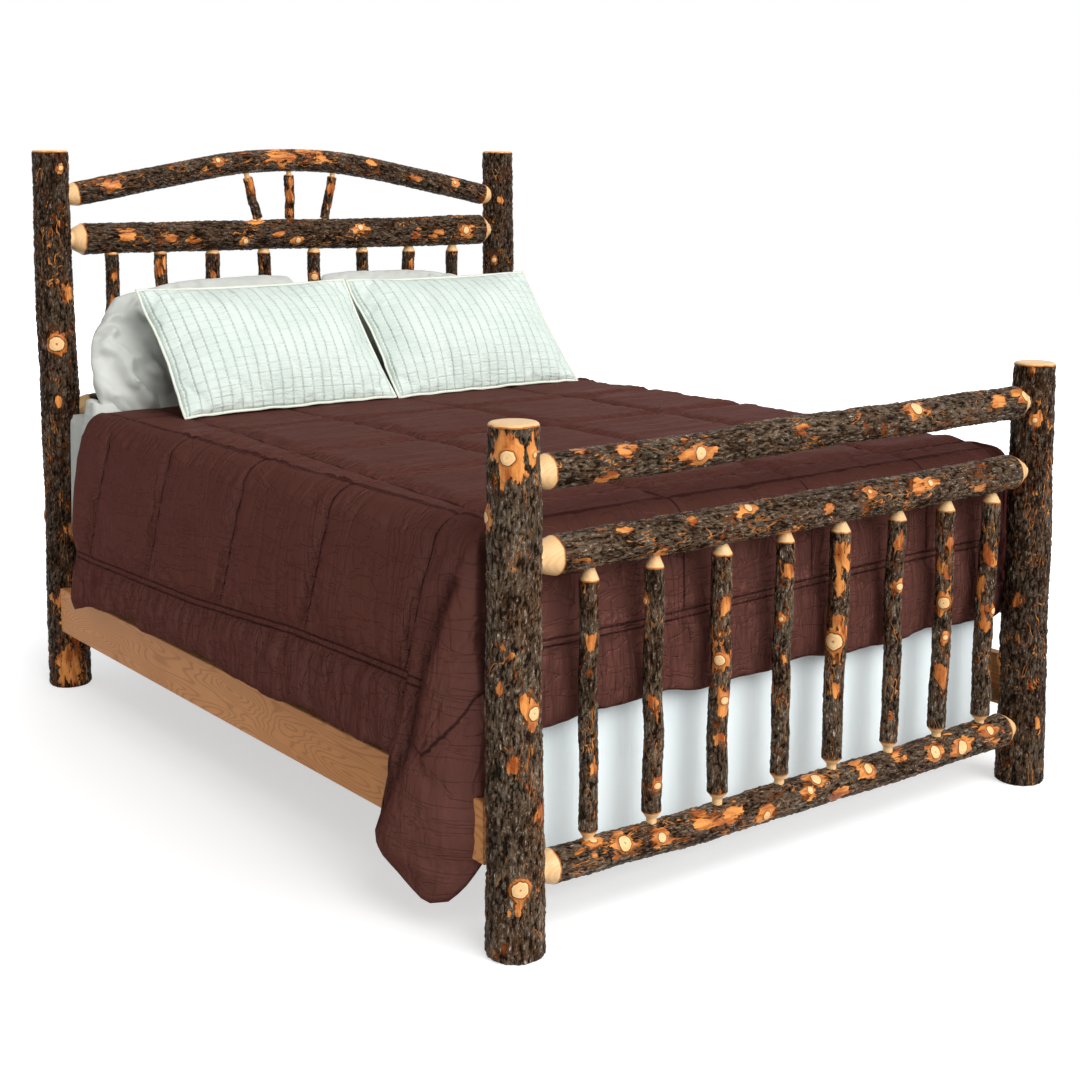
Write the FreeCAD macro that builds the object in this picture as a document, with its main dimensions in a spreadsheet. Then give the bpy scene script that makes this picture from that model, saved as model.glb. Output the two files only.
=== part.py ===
import FreeCAD, Part
import Sketcher
import math
import os
from FreeCAD import Placement, Rotation, Vector

# Rustic log bed, queen size. Millimetres, +Z up, +Y to the head, origin on the floor at the bed's middle.

# Driving sizes
SIZES = {
    # posts: their centres from the side rails' outer faces and from the mattress ends
    "post_inset": 40.0,
    "post_stand_off": 79.0,
    "post_base_radius": 59.0,
    "foot_post_top_radius": 49.0,
    "foot_post_height": 1037.0,
    "head_post_top_radius": 49.5,
    "head_post_height": 1540.0,
    "post_top_chamfer": 7.0,
    "post_base_chamfer": 4.0,
    # rails of logs at the post centres: how far below the post tops, or above the floor
    "rail_tenon_radius": 25.0,
    "rail_tenon_length": 45.0,
    "foot_top_left_drop": 103.0,
    "foot_top_right_drop": 92.0,
    "foot_top_left_radius": 35.0,
    "foot_top_right_radius": 40.0,
    "foot_top_left_cone": 28.0,
    "foot_top_right_cone": 24.0,
    "foot_mid_left_drop": 267.0,
    "foot_mid_right_drop": 259.0,
    "foot_mid_left_radius": 39.0,
    "foot_mid_right_radius": 41.0,
    "foot_mid_left_cone": 40.0,
    "foot_mid_right_cone": 30.0,
    "foot_bottom_left_height": 156.0,
    "foot_bottom_right_height": 143.0,
    "foot_bottom_left_radius": 36.0,
    "foot_bottom_right_radius": 40.0,
    "foot_bottom_left_cone": 27.0,
    "foot_bottom_right_cone": 24.0,
    "head_mid_left_drop": 239.0,
    "head_mid_right_drop": 271.0,
    "head_mid_left_radius": 33.0,
    "head_mid_right_radius": 38.0,
    "head_mid_left_cone": 30.0,
    "head_mid_right_cone": 26.0,
    "head_lower_left_drop": 730.0,
    "head_lower_right_drop": 736.0,
    "head_lower_left_radius": 35.0,
    "head_lower_right_radius": 37.0,
    "head_lower_left_cone": 28.0,
    "head_lower_right_cone": 26.0,
    # arch of the headboard
    "arch_left_drop": 136.0,
    "arch_right_drop": 156.0,
    "arch_rise": 107.0,
    "arch_crown_offset": -14.0,
    "arch_radius": 34.0,
    "arch_cone": 26.0,
    # spindles
    "spindle_tenon_radius": 11.0,
    "spindle_tenon_length": 26.0,
    "spindle_top_cone": 21.0,
    "spindle_bottom_cone": 14.0,
    "foot_spindle_radius": 21.0,
    "head_spindle_radius": 20.0,
    "fan_radius": 15.0,
    "fan_tenon_radius": 8.0,
    "fan_tenon_length": 18.0,
    "fan_cone": 12.0,
    # side rails, cleats and slats
    "side_rail_gap": 15.0,
    "side_rail_thickness": 35.0,
    "side_rail_bottom": 170.0,
    "side_rail_height": 127.0,
    "side_rail_edge_radius": 4.0,
    "rail_seat_depth": 16.0,
    "cleat_width": 25.0,
    "cleat_height": 25.0,
    "cleat_rise": 13.0,
    "cleat_end_gap": 75.0,
    "slat_thickness": 19.0,
    "slat_width": 89.0,
    "slat_end_gap": 3.0,
    # hook and slot plates between rail and post
    "plate_width": 25.0,
    "plate_height": 110.0,
    "plate_thickness": 3.0,
    "hook_thickness": 4.0,
    "hook_height": 18.0,
    "hook_reach": 13.0,
    "hook_drop": 8.0,
    "hook_spacing": 50.0,
    "slot_width": 5.0,
    "relief_margin": 2.0,
    "screw_spacing": 96.0,
    # screws
    "screw_shank_radius": 2.2,
    "screw_head_radius": 4.4,
    "screw_point_length": 4.0,
    "plate_screw_length": 38.0,
    "cleat_screw_length": 42.0,
    "slat_screw_length": 35.0,
    # box spring and mattress
    "mattress_half_width": 762.0,
    "mattress_length": 2032.0,
    "mattress_shift": 12.0,
    "mattress_height": 336.0,
    "mattress_corner_radius": 50.0,
    "mattress_edge_radius": 18.0,
    "box_spring_height": 229.0,
    "box_spring_edge_radius": 10.0,
    # bed skirt and top sheet
    "skirt_cloth": 2.4,
    "skirt_hem_height": 118.0,
    "skirt_side_inset": 27.0,
    "skirt_fold_depth": 7.0,
    "skirt_clearance": 5.0,
    "sheet_cloth": 3.0,
    "sheet_left_hem": 300.0,
    "sheet_right_hem": 470.0,
    "sheet_flare": 20.0,
    "sheet_edge_radius": 22.0,
    "sheet_head_inset": 2.0,
    # comforter
    "comforter_seam_loft": 17.0,
    "comforter_crown_loft": 39.0,
    "comforter_side_loft": 37.0,
    "comforter_head_inset": 176.0,
    "comforter_edge_radius": 62.0,
    "comforter_left_hem": 285.0,
    "comforter_right_hem": 390.0,
    "comforter_left_overhang": 34.0,
    "comforter_right_overhang": 38.0,
    "comforter_rail_gap": 3.0,
    "comforter_hem_crown": 12.0,
    "comforter_flap_hem": 62.0,
    "comforter_foot_hem": 412.0,
    "comforter_foot_reach": 42.0,
    "comforter_foot_side_inset": 24.0,
    "comforter_foot_seam_dip": 14.0,
    # pillows and shams
    "sham_length": 438.0,
    "sham_thickness": 165.0,
    "sham_tilt": 48.7,
    "sham_head_inset": 445.0,
    "left_sham_sink": 10.8,
    "right_sham_sink": 13.6,
    "pillow_rest_gap": 1.0,
    "pillow_length": 408.0,
    "pillow_thickness": 165.0,
    "pillow_tilt": 66.0,
    "pillow_head_inset": 156.0,
    "cushion_side_dip": 14.0,
    "cushion_end_dip": 10.0,
    # clearances
    "shoulder_gap": 0.4,
    "fit_clearance": 0.2,
    "end_clearance": 1.0,
    "soft_clearance": 0.3,
    "cut_overrun": 20.0,
}

# Places along the half width between post centres, as shares of it, from left to right
FOOT_SPINDLE_TOP_SHARES = (-0.766, -0.549, -0.312, -0.074, 0.146, 0.386, 0.604, 0.811)
FOOT_SPINDLE_BOTTOM_SHARES = (-0.769, -0.554, -0.319, -0.083, 0.128, 0.368, 0.588, 0.789)
HEAD_SPINDLE_SHARES = (-0.779, -0.580, -0.364, -0.141, 0.083, 0.310, 0.539, 0.757)
FAN_TOP_SHARES = (-0.2215, -0.0220, 0.1865)
FAN_BOTTOM_SHARES = (-0.1490, -0.0220, 0.1245)
# Each spindle's own stoutness, as shares of the common radius
FOOT_SPINDLE_RADIUS_SHARES = (0.92, 0.96, 1.05, 0.95, 1.08, 0.98, 1.02, 1.06)
HEAD_SPINDLE_RADIUS_SHARES = (1.00, 0.96, 1.04, 0.98, 1.02, 0.96, 1.04, 1.00)
# Slats and cleat screws along half the cleat, as shares of it
SLAT_SHARES = (-0.80, -0.40, 0.0, 0.40, 0.80)
CLEAT_SCREW_SHARES = (-0.92, -0.60, -0.20, 0.20, 0.60, 0.92)
# Comforter: cross seams along the bed as shares of half the mattress length, length seams and foot
# seam as shares of half its width and of the drop, and the loft between two cross seams
CROSS_SEAM_SHARES = (0.651, 0.292, -0.097, -0.481, -0.876)
LENGTH_SEAM_SHARES = (-0.905, -0.394, 0.098, 0.597)
PANEL_STEP_SHARES = (0.0, 0.25, 0.5, 0.75)
PANEL_LOFT_SHARES = (0.0, 0.75, 1.0, 0.75)
SIDE_SEAM_SHARE = 0.42
FOOT_SEAM_SHARE = 0.55
# The flap at the left foot corner: places along half the mattress length and how far the hem drops
FLAP_PLACE_SHARES = (-0.640, -0.705, -0.800, -0.914, -0.985)
FLAP_DROP_SHARES = (0.0, 0.78, 0.90, 1.0, 0.45)
# How the foot end of the comforter draws in, as shares of its reach
FOOT_STEP_SHARES = (0.55, 1.0)
FOOT_TOP_DROP_SHARES = (0.25, 0.85)
FOOT_DRAW_SHARES = (0.62, 1.0)
# Cushion cross-section: outline and height, as shares of the outline and of half the thickness
CUSHION_OUTLINE_SHARES = (1.0, 0.93, 0.80, 0.60, 0.34)
CUSHION_HEIGHT_SHARES = (0.0, 0.20, 0.50, 0.82, 1.0)
# Folds of the bed skirt from left to right, as shares of its half width
SKIRT_FOLD_SHARES = (-1.0, -0.83, -0.62, -0.45, -0.22, -0.05, 0.17, 0.36, 0.52, 0.74, 0.88, 1.0)
SKIRT_TOP_FOLD_SHARE = 0.15

# How sharply the arch bends at its crown: its radius as a share of half the span squared by the rise
ARCH_BEND_SHARE = 0.3131
# Pillows and shams: width and place across the bed, as shares of half the mattress width
SHAM_WIDTH_SHARE = 0.8766
LEFT_SHAM_SHARE = -0.3885
RIGHT_SHAM_SHARE = 0.4961
PILLOW_WIDTH_SHARE = 0.9252
LEFT_PILLOW_SHARE = -0.5144
RIGHT_PILLOW_SHARE = 0.5144

doc = FreeCAD.newDocument("RusticLogBed")
sheet = doc.addObject("Spreadsheet::Sheet", "Sizes")
parts = {}

X_AXIS = Vector(1, 0, 0)
Y_AXIS = Vector(0, 1, 0)
Z_AXIS = Vector(0, 0, 1)


class Size:
    """A length: its value, and the sheet expression that keeps it."""

    def __init__(self, value, text):
        self.value = value
        self.text = text

    def __add__(self, other):
        return Size(self.value + other.value, f"({self.text} + {other.text})")

    def __sub__(self, other):
        return Size(self.value - other.value, f"({self.text} - {other.text})")

    def __mul__(self, share):
        return Size(self.value * share, f"({self.text} * {share})")

    def __neg__(self):
        return self * -1


def write_cell(alias, value):
    """Put one named length in the next free row of the sheet."""
    row = len(written) + 1
    sheet.set(f"A{row}", alias)
    sheet.set(f"B{row}", str(value))
    sheet.setAlias(f"B{row}", alias)
    written.append(alias)


def size(alias):
    """The length kept under this name."""
    return Size(float(sheet.get(alias)), f"Sizes.{alias}")


def value(alias):
    """The same length as a plain number, for the shapes that are worked out in code."""
    return size(alias).value


def worked_out(alias, number):
    """Keep a length that follows from the driving sizes in the sheet, and return it."""
    write_cell(alias, number)
    sheet.recompute()
    return size(alias)


written = []
for name, number in SIZES.items():
    write_cell(name, number)
doc.recompute()
NONE = Size(0.0, "0")

# Lengths that follow from the driving sizes
mattress_side = value("mattress_half_width")
mattress_half_length = value("mattress_length") / 2
mattress_head = mattress_half_length + value("mattress_shift")
rail_outer = mattress_side + value("side_rail_gap") + value("side_rail_thickness")
worked_out("side_rail_outer", rail_outer)
worked_out("post_x", rail_outer - value("post_inset"))
worked_out("post_y", mattress_half_length + value("post_stand_off"))
worked_out("cleat_length", (value("post_y") - value("cleat_end_gap")) * 2)
for end, rail in (("foot", "foot_top"), ("foot", "foot_mid"), ("head", "head_mid"), ("head", "head_lower"), ("head", "arch")):
    for side in ("left", "right"):
        post_top = value(f"{end}_post_height")
        worked_out(f"{rail}_{side}_height", post_top - value(f"{rail}_{side}_drop"))
worked_out("arch_crown_height", value("arch_left_height") + value("arch_rise"))
worked_out("arch_crown_bend", value("post_x") ** 2 / value("arch_rise") * ARCH_BEND_SHARE)
worked_out("skirt_half_width", mattress_side - value("skirt_side_inset"))
worked_out("comforter_head_edge", mattress_head - value("comforter_head_inset"))
worked_out("comforter_left_reach", rail_outer + value("comforter_left_overhang"))
worked_out("comforter_right_reach", rail_outer + value("comforter_right_overhang"))
worked_out("comforter_foot_half_width", mattress_side - value("comforter_foot_side_inset"))
worked_out("sham_width", mattress_side * SHAM_WIDTH_SHARE)
worked_out("sham_foot_edge", mattress_head - value("sham_head_inset"))
worked_out("left_sham_x", mattress_side * LEFT_SHAM_SHARE)
worked_out("right_sham_x", mattress_side * RIGHT_SHAM_SHARE)
worked_out("pillow_width", mattress_side * PILLOW_WIDTH_SHARE)
worked_out("pillow_foot_edge", mattress_head - value("pillow_head_inset"))
worked_out("left_pillow_x", mattress_side * LEFT_PILLOW_SHARE)
worked_out("right_pillow_x", mattress_side * RIGHT_PILLOW_SHARE)


# Helpers for sketches, bodies and cuts


def origin_plane(body, role):
    return next(f for f in body.Origin.OriginFeatures if f.Role == role)


def hold_corner(sketch, edge, corner):
    """Dimension the start of an edge from the sketch's origin, each way by its own length."""
    for kind, axis, length in (("DistanceX", -2, corner[0]), ("DistanceY", -1, corner[1])):
        if length.text == NONE.text:
            sketch.addConstraint(Sketcher.Constraint("PointOnObject", edge, 1, axis))
            continue
        index = sketch.addConstraint(Sketcher.Constraint(kind, -1, 1, edge, 1, length.value))
        sketch.setExpression(f"Constraints[{index}]", length.text)


def outline_sketch(body, name, role, corners):
    """A closed outline of straight edges on one of the body's own planes."""
    sketch = body.newObject("Sketcher::SketchObject", name)
    sketch.AttachmentSupport = [(origin_plane(body, role), "")]
    sketch.MapMode = "FlatFace"
    points = [Vector(across.value, up.value, 0) for across, up in corners]
    count = len(points)
    for index in range(count):
        edge = Part.LineSegment(points[index], points[(index + 1) % count])
        sketch.addGeometry(edge, False)
    for index in range(count):
        sketch.addConstraint(Sketcher.Constraint("Coincident", index, 2, (index + 1) % count, 1))
    for index, corner in enumerate(corners):
        hold_corner(sketch, index, corner)
    return sketch


def turned_body(name, corners):
    """A round piece: the outline, radius by height, turned once about the body's Z axis."""
    body = doc.addObject("PartDesign::Body", name)
    sketch = outline_sketch(body, f"{name}_outline", "XZ_Plane", corners)
    turn = body.newObject("PartDesign::Revolution", f"{name}_turn")
    turn.Profile = sketch
    turn.ReferenceAxis = (sketch, ["V_Axis"])
    turn.Angle = 360
    return body


def padded_body(name, role, corners, depth):
    """A flat piece: the outline, thickened evenly to both sides of the body's plane."""
    body = doc.addObject("PartDesign::Body", name)
    sketch = outline_sketch(body, f"{name}_outline", role, corners)
    pad = body.newObject("PartDesign::Pad", f"{name}_pad")
    pad.Profile = sketch
    pad.setExpression("Length", depth.text)
    pad.Midplane = True
    return body


def round_edges(body, name, alias, wanted):
    """Round the edges of the body's last feature that answer a test."""
    doc.recompute()
    last = body.Tip
    edges = [f"Edge{number}" for number, edge in enumerate(last.Shape.Edges, 1) if wanted(edge)]
    fillet = body.newObject("PartDesign::Fillet", name)
    fillet.Base = (last, edges)
    fillet.setExpression("Radius", f"Sizes.{alias}")


def rectangle(half_width, low, high):
    """Corners of a rectangle about the vertical axis."""
    return [(-half_width, low), (half_width, low), (half_width, high), (-half_width, high)]


def block(name, sides, corner):
    """A box with its lowest corner at a point, sized from the sheet."""
    box = doc.addObject("Part::Box", name)
    for side, length in zip(("Length", "Width", "Height"), sides):
        box.setExpression(side, length.text)
    box.Placement = Placement(corner, Rotation())
    return box


def bore(name, radius, depth, bottom, direction):
    """A round hole's tool, from its bottom out along a direction."""
    tool = doc.addObject("Part::Cylinder", name)
    tool.setExpression("Radius", radius.text)
    tool.Height = depth
    tool.Placement = Placement(bottom, Rotation(Z_AXIS, direction))
    return tool


def cut_away(name, stock, tools):
    """The stock without its tools, which are cut in one go."""
    tool = tools[0]
    if len(tools) > 1:
        tool = doc.addObject("Part::Compound", f"{name}_tools")
        tool.Links = tools
    cut = doc.addObject("Part::Cut", f"{name}_cut")
    cut.Base = stock
    cut.Tool = tool
    return cut


def keep(node, piece):
    """File a finished piece under its node name."""
    piece.Label = node
    parts[node] = piece


def fixed_shape(name, shape, place):
    """A piece whose curved shape is worked out in code."""
    piece = doc.addObject("Part::Feature", name)
    piece.Shape = shape
    piece.Placement = place
    return piece


# Geometry of the frame's log joints


def lean_between(direction, axis):
    """How far a direction leans from square to an axis."""
    return math.asin(min(1.0, abs(direction.dot(axis))))


def shoulder_distance(carrier_radius, tenon_radius, lean):
    """From the carrier's axis to where a round tenon's whole shoulder clears its surface."""
    reach = carrier_radius + value("shoulder_gap") + tenon_radius * math.sin(lean)
    return reach / math.cos(lean)


def post_radius_at(kind, height):
    base = value("post_base_radius")
    top = value(f"{kind}_post_top_radius")
    return base + (top - base) * height / value(f"{kind}_post_height")


def log_body(name, length, radii, cones, tenon_radius, tenon_length):
    """A log with a shaved cone and a round tenon at each end, along Z from its lower tenon's end."""
    whole = worked_out(f"{name}_length", length)
    start = tenon_length
    end = whole - tenon_length
    corners = [
        (NONE, NONE),
        (tenon_radius, NONE),
        (tenon_radius, start),
        (radii[0], start + cones[0]),
        (radii[1], end - cones[1]),
        (tenon_radius, end),
        (tenon_radius, whole),
        (NONE, whole),
    ]
    return turned_body(name, corners)


def mortise(name, tenon_radius, tenon_end, out_direction, depth):
    """The hole for a tenon, a little wider than it and a little deeper than its end."""
    slack = value("end_clearance")
    bottom = tenon_end - out_direction * slack
    reach = depth + slack + value("cut_overrun")
    return bore(name, tenon_radius + size("fit_clearance"), reach, bottom, out_direction)


class Rail:
    """A log that runs from post to post, and the holes that its spindles need."""

    def __init__(self, node, kind, prefix):
        self.node = node
        self.kind = kind
        self.prefix = prefix
        self.side = -1 if kind == "foot" else 1
        self.holes = []
        y_place = self.side * value("post_y")
        left = Vector(-value("post_x"), y_place, value(f"{prefix}_left_height"))
        right = Vector(value("post_x"), y_place, value(f"{prefix}_right_height"))
        self.left = left
        self.right = right
        self.direction = (right - left).normalize()
        lean = lean_between(self.direction, Z_AXIS)
        tenon = value("rail_tenon_radius")
        self.left_reach = shoulder_distance(post_radius_at(kind, left.z), tenon, lean)
        self.right_reach = shoulder_distance(post_radius_at(kind, right.z), tenon, lean)

    def axis_at(self, across):
        """The point of the rail's axis at this place across the bed."""
        share = (across - self.left.x) / (self.right.x - self.left.x)
        return self.left + (self.right - self.left) * share

    def direction_at(self, across):
        return self.direction

    def radius_at(self, across):
        share = (across - self.left.x) / (self.right.x - self.left.x)
        left = value(f"{self.prefix}_left_radius")
        return left + (value(f"{self.prefix}_right_radius") - left) * share

    def tenon_ends(self):
        tenon = value("rail_tenon_length")
        left_end = self.left + self.direction * (self.left_reach - tenon)
        right_end = self.right - self.direction * (self.right_reach - tenon)
        return left_end, right_end

    def make(self):
        left_end, right_end = self.tenon_ends()
        radii = (size(f"{self.prefix}_left_radius"), size(f"{self.prefix}_right_radius"))
        cones = (size(f"{self.prefix}_left_cone"), size(f"{self.prefix}_right_cone"))
        length = (right_end - left_end).Length
        tenon = size("rail_tenon_radius")
        body = log_body(self.node, length, radii, cones, tenon, size("rail_tenon_length"))
        body.Placement = Placement(left_end, Rotation(Z_AXIS, self.direction))
        if self.holes:
            body = cut_away(self.node, body, self.holes)
        keep(self.node, body)

    def post_holes(self):
        left_end, right_end = self.tenon_ends()
        tenon = size("rail_tenon_radius")
        depth = value("rail_tenon_length")
        left = mortise(f"{self.node}_left_mortise", tenon, left_end, self.direction, depth)
        right = mortise(f"{self.node}_right_mortise", tenon, right_end, -self.direction, depth)
        return left, right


class Arch:
    """The bent top rail of the headboard: two straight limbs and a round crown between them."""

    node = "head_arch_rail"
    kind = "head"

    def __init__(self):
        self.holes = []
        y_place = value("post_y")
        bend = value("arch_crown_bend")
        self.left = Vector(-value("post_x"), y_place, value("arch_left_height"))
        self.right = Vector(value("post_x"), y_place, value("arch_right_height"))
        self.bend = bend
        self.middle = Vector(value("arch_crown_offset"), y_place, value("arch_crown_height") - bend)
        self.left_touch = self.touch_point(self.left, -1)
        self.right_touch = self.touch_point(self.right, 1)
        self.left_direction = (self.left_touch - self.left).normalize()
        self.right_direction = (self.right_touch - self.right).normalize()

    def touch_point(self, end, side):
        """Where the straight limb from a post meets the crown's circle without a kink."""
        reach = end - self.middle
        away = math.atan2(reach.x, reach.z)
        opening = math.acos(self.bend / reach.Length)
        turn = away - side * opening
        return self.middle + Vector(math.sin(turn), 0, math.cos(turn)) * self.bend

    def axis_at(self, across):
        if across < self.left_touch.x:
            slope = self.left_direction.z / self.left_direction.x
            return self.left + Vector(1, 0, slope) * (across - self.left.x)
        if across > self.right_touch.x:
            slope = self.right_direction.z / self.right_direction.x
            return self.right + Vector(1, 0, slope) * (across - self.right.x)
        offset = across - self.middle.x
        rise = math.sqrt(self.bend ** 2 - offset ** 2)
        return Vector(across, self.middle.y, self.middle.z + rise)

    def direction_at(self, across):
        offset = across - self.middle.x
        return Vector(math.sqrt(self.bend ** 2 - offset ** 2), 0, -offset).normalize()

    def radius_at(self, across):
        return value("arch_radius")

    def limb(self, name, end, direction, touch):
        """One straight limb with its cone and tenon, from the post's inside to the crown."""
        lean = lean_between(direction, Z_AXIS)
        tenon = size("rail_tenon_radius")
        reach = shoulder_distance(post_radius_at(self.kind, end.z), tenon.value, lean)
        tenon_end = end + direction * (reach - value("rail_tenon_length"))
        length = worked_out(f"{name}_length", (touch - tenon_end).Length)
        shoulder = size("rail_tenon_length")
        corners = [
            (NONE, NONE),
            (tenon, NONE),
            (tenon, shoulder),
            (size("arch_radius"), shoulder + size("arch_cone")),
            (size("arch_radius"), length),
            (NONE, length),
        ]
        body = turned_body(name, corners)
        body.Placement = Placement(tenon_end, Rotation(Z_AXIS, direction))
        depth = value("rail_tenon_length")
        hole = mortise(f"{name}_mortise", tenon, tenon_end, direction, depth)
        return body, hole

    def crown(self):
        """The round middle stretch, a slice of a ring in the headboard's plane."""
        ring = doc.addObject("Part::Torus", "arch_crown")
        ring.setExpression("Radius1", "Sizes.arch_crown_bend")
        ring.setExpression("Radius2", "Sizes.arch_radius")
        start = self.right_touch - self.middle
        end = self.left_touch - self.middle
        start_angle = math.degrees(math.atan2(start.z, start.x))
        end_angle = math.degrees(math.atan2(end.z, end.x))
        ring.Angle3 = end_angle - start_angle
        # the ring's plane is stood up so that its angle runs from +X towards +Z
        upright = Rotation(X_AXIS, 90)
        start_turn = Rotation(Y_AXIS, -start_angle)
        ring.Placement = Placement(self.middle, start_turn * upright)
        return ring

    def make(self):
        left, left_hole = self.limb("arch_left_limb", self.left, self.left_direction, self.left_touch)
        right, right_hole = self.limb(
            "arch_right_limb", self.right, self.right_direction, self.right_touch
        )
        whole = doc.addObject("Part::MultiFuse", "arch_whole")
        whole.Shapes = [left, self.crown(), right]
        keep(self.node, cut_away(self.node, whole, self.holes))
        self.post_tools = (left_hole, right_hole)

    def post_holes(self):
        return self.post_tools


def make_spindle(node, lower, upper, places, radius_alias, radius_share, tenon, cones):
    """A stick between two logs. It leans with its two places, and each log gets its hole."""
    tenon_radius = size(f"{tenon}_tenon_radius")
    tenon_length = size(f"{tenon}_tenon_length")
    low = lower.axis_at(places[0])
    high = upper.axis_at(places[1])
    direction = (high - low).normalize()
    low_lean = lean_between(direction, lower.direction_at(places[0]))
    high_lean = lean_between(direction, upper.direction_at(places[1]))
    low_reach = shoulder_distance(lower.radius_at(places[0]), tenon_radius.value, low_lean)
    high_reach = shoulder_distance(upper.radius_at(places[1]), tenon_radius.value, high_lean)
    start = low + direction * (low_reach - tenon_length.value)
    end = high - direction * (high_reach - tenon_length.value)
    radius = size(radius_alias) * radius_share
    length = (end - start).Length
    body = log_body(node, length, (radius, radius), cones, tenon_radius, tenon_length)
    body.Placement = Placement(start, Rotation(Z_AXIS, direction))
    keep(node, body)
    depth = tenon_length.value
    lower.holes.append(mortise(f"{node}_low_hole", tenon_radius, start, direction, depth))
    upper.holes.append(mortise(f"{node}_high_hole", tenon_radius, end, -direction, depth))


def make_spindle_row(kind, lower, upper, bottom_shares, top_shares, radius_shares):
    half = value("post_x")
    cones = (size("spindle_bottom_cone"), size("spindle_top_cone"))
    rows = zip(bottom_shares, top_shares, radius_shares)
    for number, (bottom, top, stoutness) in enumerate(rows, 1):
        make_spindle(
            f"{kind}_spindle_{number}", lower, upper, (bottom * half, top * half),
            f"{kind}_spindle_radius", stoutness, "spindle", cones,
        )


def make_fans(lower, upper):
    half = value("post_x")
    cones = (size("fan_cone"), size("fan_cone"))
    rows = zip(("left", "centre", "right"), FAN_BOTTOM_SHARES, FAN_TOP_SHARES)
    for word, bottom, top in rows:
        make_spindle(
            f"head_fan_{word}", lower, upper, (bottom * half, top * half),
            "fan_radius", 1.0, "fan", cones,
        )


# Screws


def turned_shape(points):
    """A round shape from its outline, radius by height, turned about Z."""
    corners = [Vector(radius, 0, height) for radius, height in points]
    outline = Part.makePolygon(corners + [corners[0]])
    return Part.Face(outline).revolve(Vector(0, 0, 0), Z_AXIS, 360)


def screw_shape(length, slack, above):
    """A countersunk wood screw that points down from its head at zero; slack and above make its hole."""
    shank = value("screw_shank_radius") + slack
    head = value("screw_head_radius") + slack
    point = length - value("screw_point_length")
    head_depth = value("screw_head_radius") - value("screw_shank_radius")
    tip = length + slack
    points = [(0, above), (head, above), (head, 0), (shank, -head_depth), (shank, -point), (0, -tip)]
    if not above:
        points = points[2:]
        points.insert(0, (0, 0))
    return turned_shape(points)


class ScrewSet:
    """Screws of one kind: where each one sits and which way it points."""

    def __init__(self, node, length_alias):
        self.node = node
        self.length = value(length_alias)
        self.sites = []

    def add(self, head, direction):
        place = Placement(head, Rotation(-Z_AXIS, direction))
        self.sites.append(place)
        return place

    def tool(self, name, places):
        """The holes for some of these screws."""
        shape = screw_shape(self.length, value("fit_clearance"), value("shoulder_gap"))
        return fixed_shape(name, group_of(shape, places), Placement())

    def make(self):
        shape = screw_shape(self.length, 0.0, 0.0)
        keep(self.node, fixed_shape(self.node, group_of(shape, self.sites), Placement()))


def group_of(shape, places):
    copies = []
    for place in places:
        copy = shape.copy()
        copy.Placement = place
        copies.append(copy)
    return Part.makeCompound(copies)


# Side rails with their hardware


def rail_middle_x():
    return value("side_rail_outer") - value("side_rail_thickness") / 2


def rail_middle_height():
    return value("side_rail_bottom") + value("side_rail_height") / 2


def seat_y():
    """The flat seat that is cut into a post for the end of a side rail."""
    return value("post_y") - value("post_base_radius") + value("rail_seat_depth")


def slot_plate_face():
    return seat_y() - value("plate_thickness")


def hook_plate_face():
    return slot_plate_face() - value("fit_clearance")


def rail_end_y():
    return hook_plate_face() - value("plate_thickness")


def hook_corners():
    """A hook seen from the side: a neck through the slot and a lip that hangs down behind it."""
    lip = size("plate_thickness") + size("fit_clearance") * 3
    low = NONE
    high = size("hook_height")
    tip = size("hook_reach")
    drop = -size("hook_drop")
    return [(NONE, low), (lip, low), (lip, drop), (tip, drop), (tip, high), (NONE, high)]


def hook_heights():
    """Where the two hooks' necks start, measured from the plate's middle."""
    half = size("hook_spacing") * 0.5
    lower = size("hook_height") * 0.5
    return (-half - lower, half - lower)


def corner_places():
    """Each corner of the bed: its name, its side across, its end along, and the end's turn."""
    for end_word, end in (("foot", -1), ("head", 1)):
        for side_word, side in (("left", -1), ("right", 1)):
            yield end_word, side_word, side, end


def corner_placement(side, end, distance):
    """The frame of a corner's hardware: its Y axis points into the post."""
    turn = Rotation(Z_AXIS, 0 if end > 0 else 180)
    return Placement(Vector(side * rail_middle_x(), end * distance, rail_middle_height()), turn)


def place_of(frame, offset, direction):
    """A point and direction given in a corner's frame, in the bed's frame."""
    return frame.multVec(offset), frame.Rotation.multVec(direction)


def plate_screw_offsets():
    half = value("screw_spacing") / 2
    return (-half, half)


def make_hook_plate(node, frame, screws):
    """A steel plate on the end of a side rail, with two hooks."""
    half = size("plate_width") * 0.5
    tall = size("plate_height") * 0.5
    plate = padded_body(f"{node}_plate", "XZ_Plane", rectangle(half, -tall, tall), size("plate_thickness"))
    thickness = value("plate_thickness")
    plate.Placement = Placement(Vector(0, -thickness / 2, 0), Rotation())
    solids = [plate]
    for number, height in enumerate(hook_heights(), 1):
        hook = padded_body(f"{node}_hook_{number}", "YZ_Plane", hook_corners(), size("hook_thickness"))
        hook.Placement = Placement(Vector(0, 0, height.value), Rotation())
        solids.append(hook)
    joined = doc.addObject("Part::MultiFuse", f"{node}_joined")
    joined.Shapes = solids
    places = []
    for offset in plate_screw_offsets():
        head, direction = place_of(frame, Vector(0, 0, offset), -Y_AXIS)
        places.append(screws.add(head, direction))
    local = [frame.inverse().multiply(place) for place in places]
    finished = cut_away(node, joined, [screws.tool(f"{node}_screw_holes", local)])
    finished.Placement = frame
    keep(node, finished)
    return places


def slot_sides():
    """A slot's width, and its height with room to lift the hook out."""
    tall = size("hook_height") + size("hook_drop") + size("fit_clearance") * 2
    return size("slot_width"), tall


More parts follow.
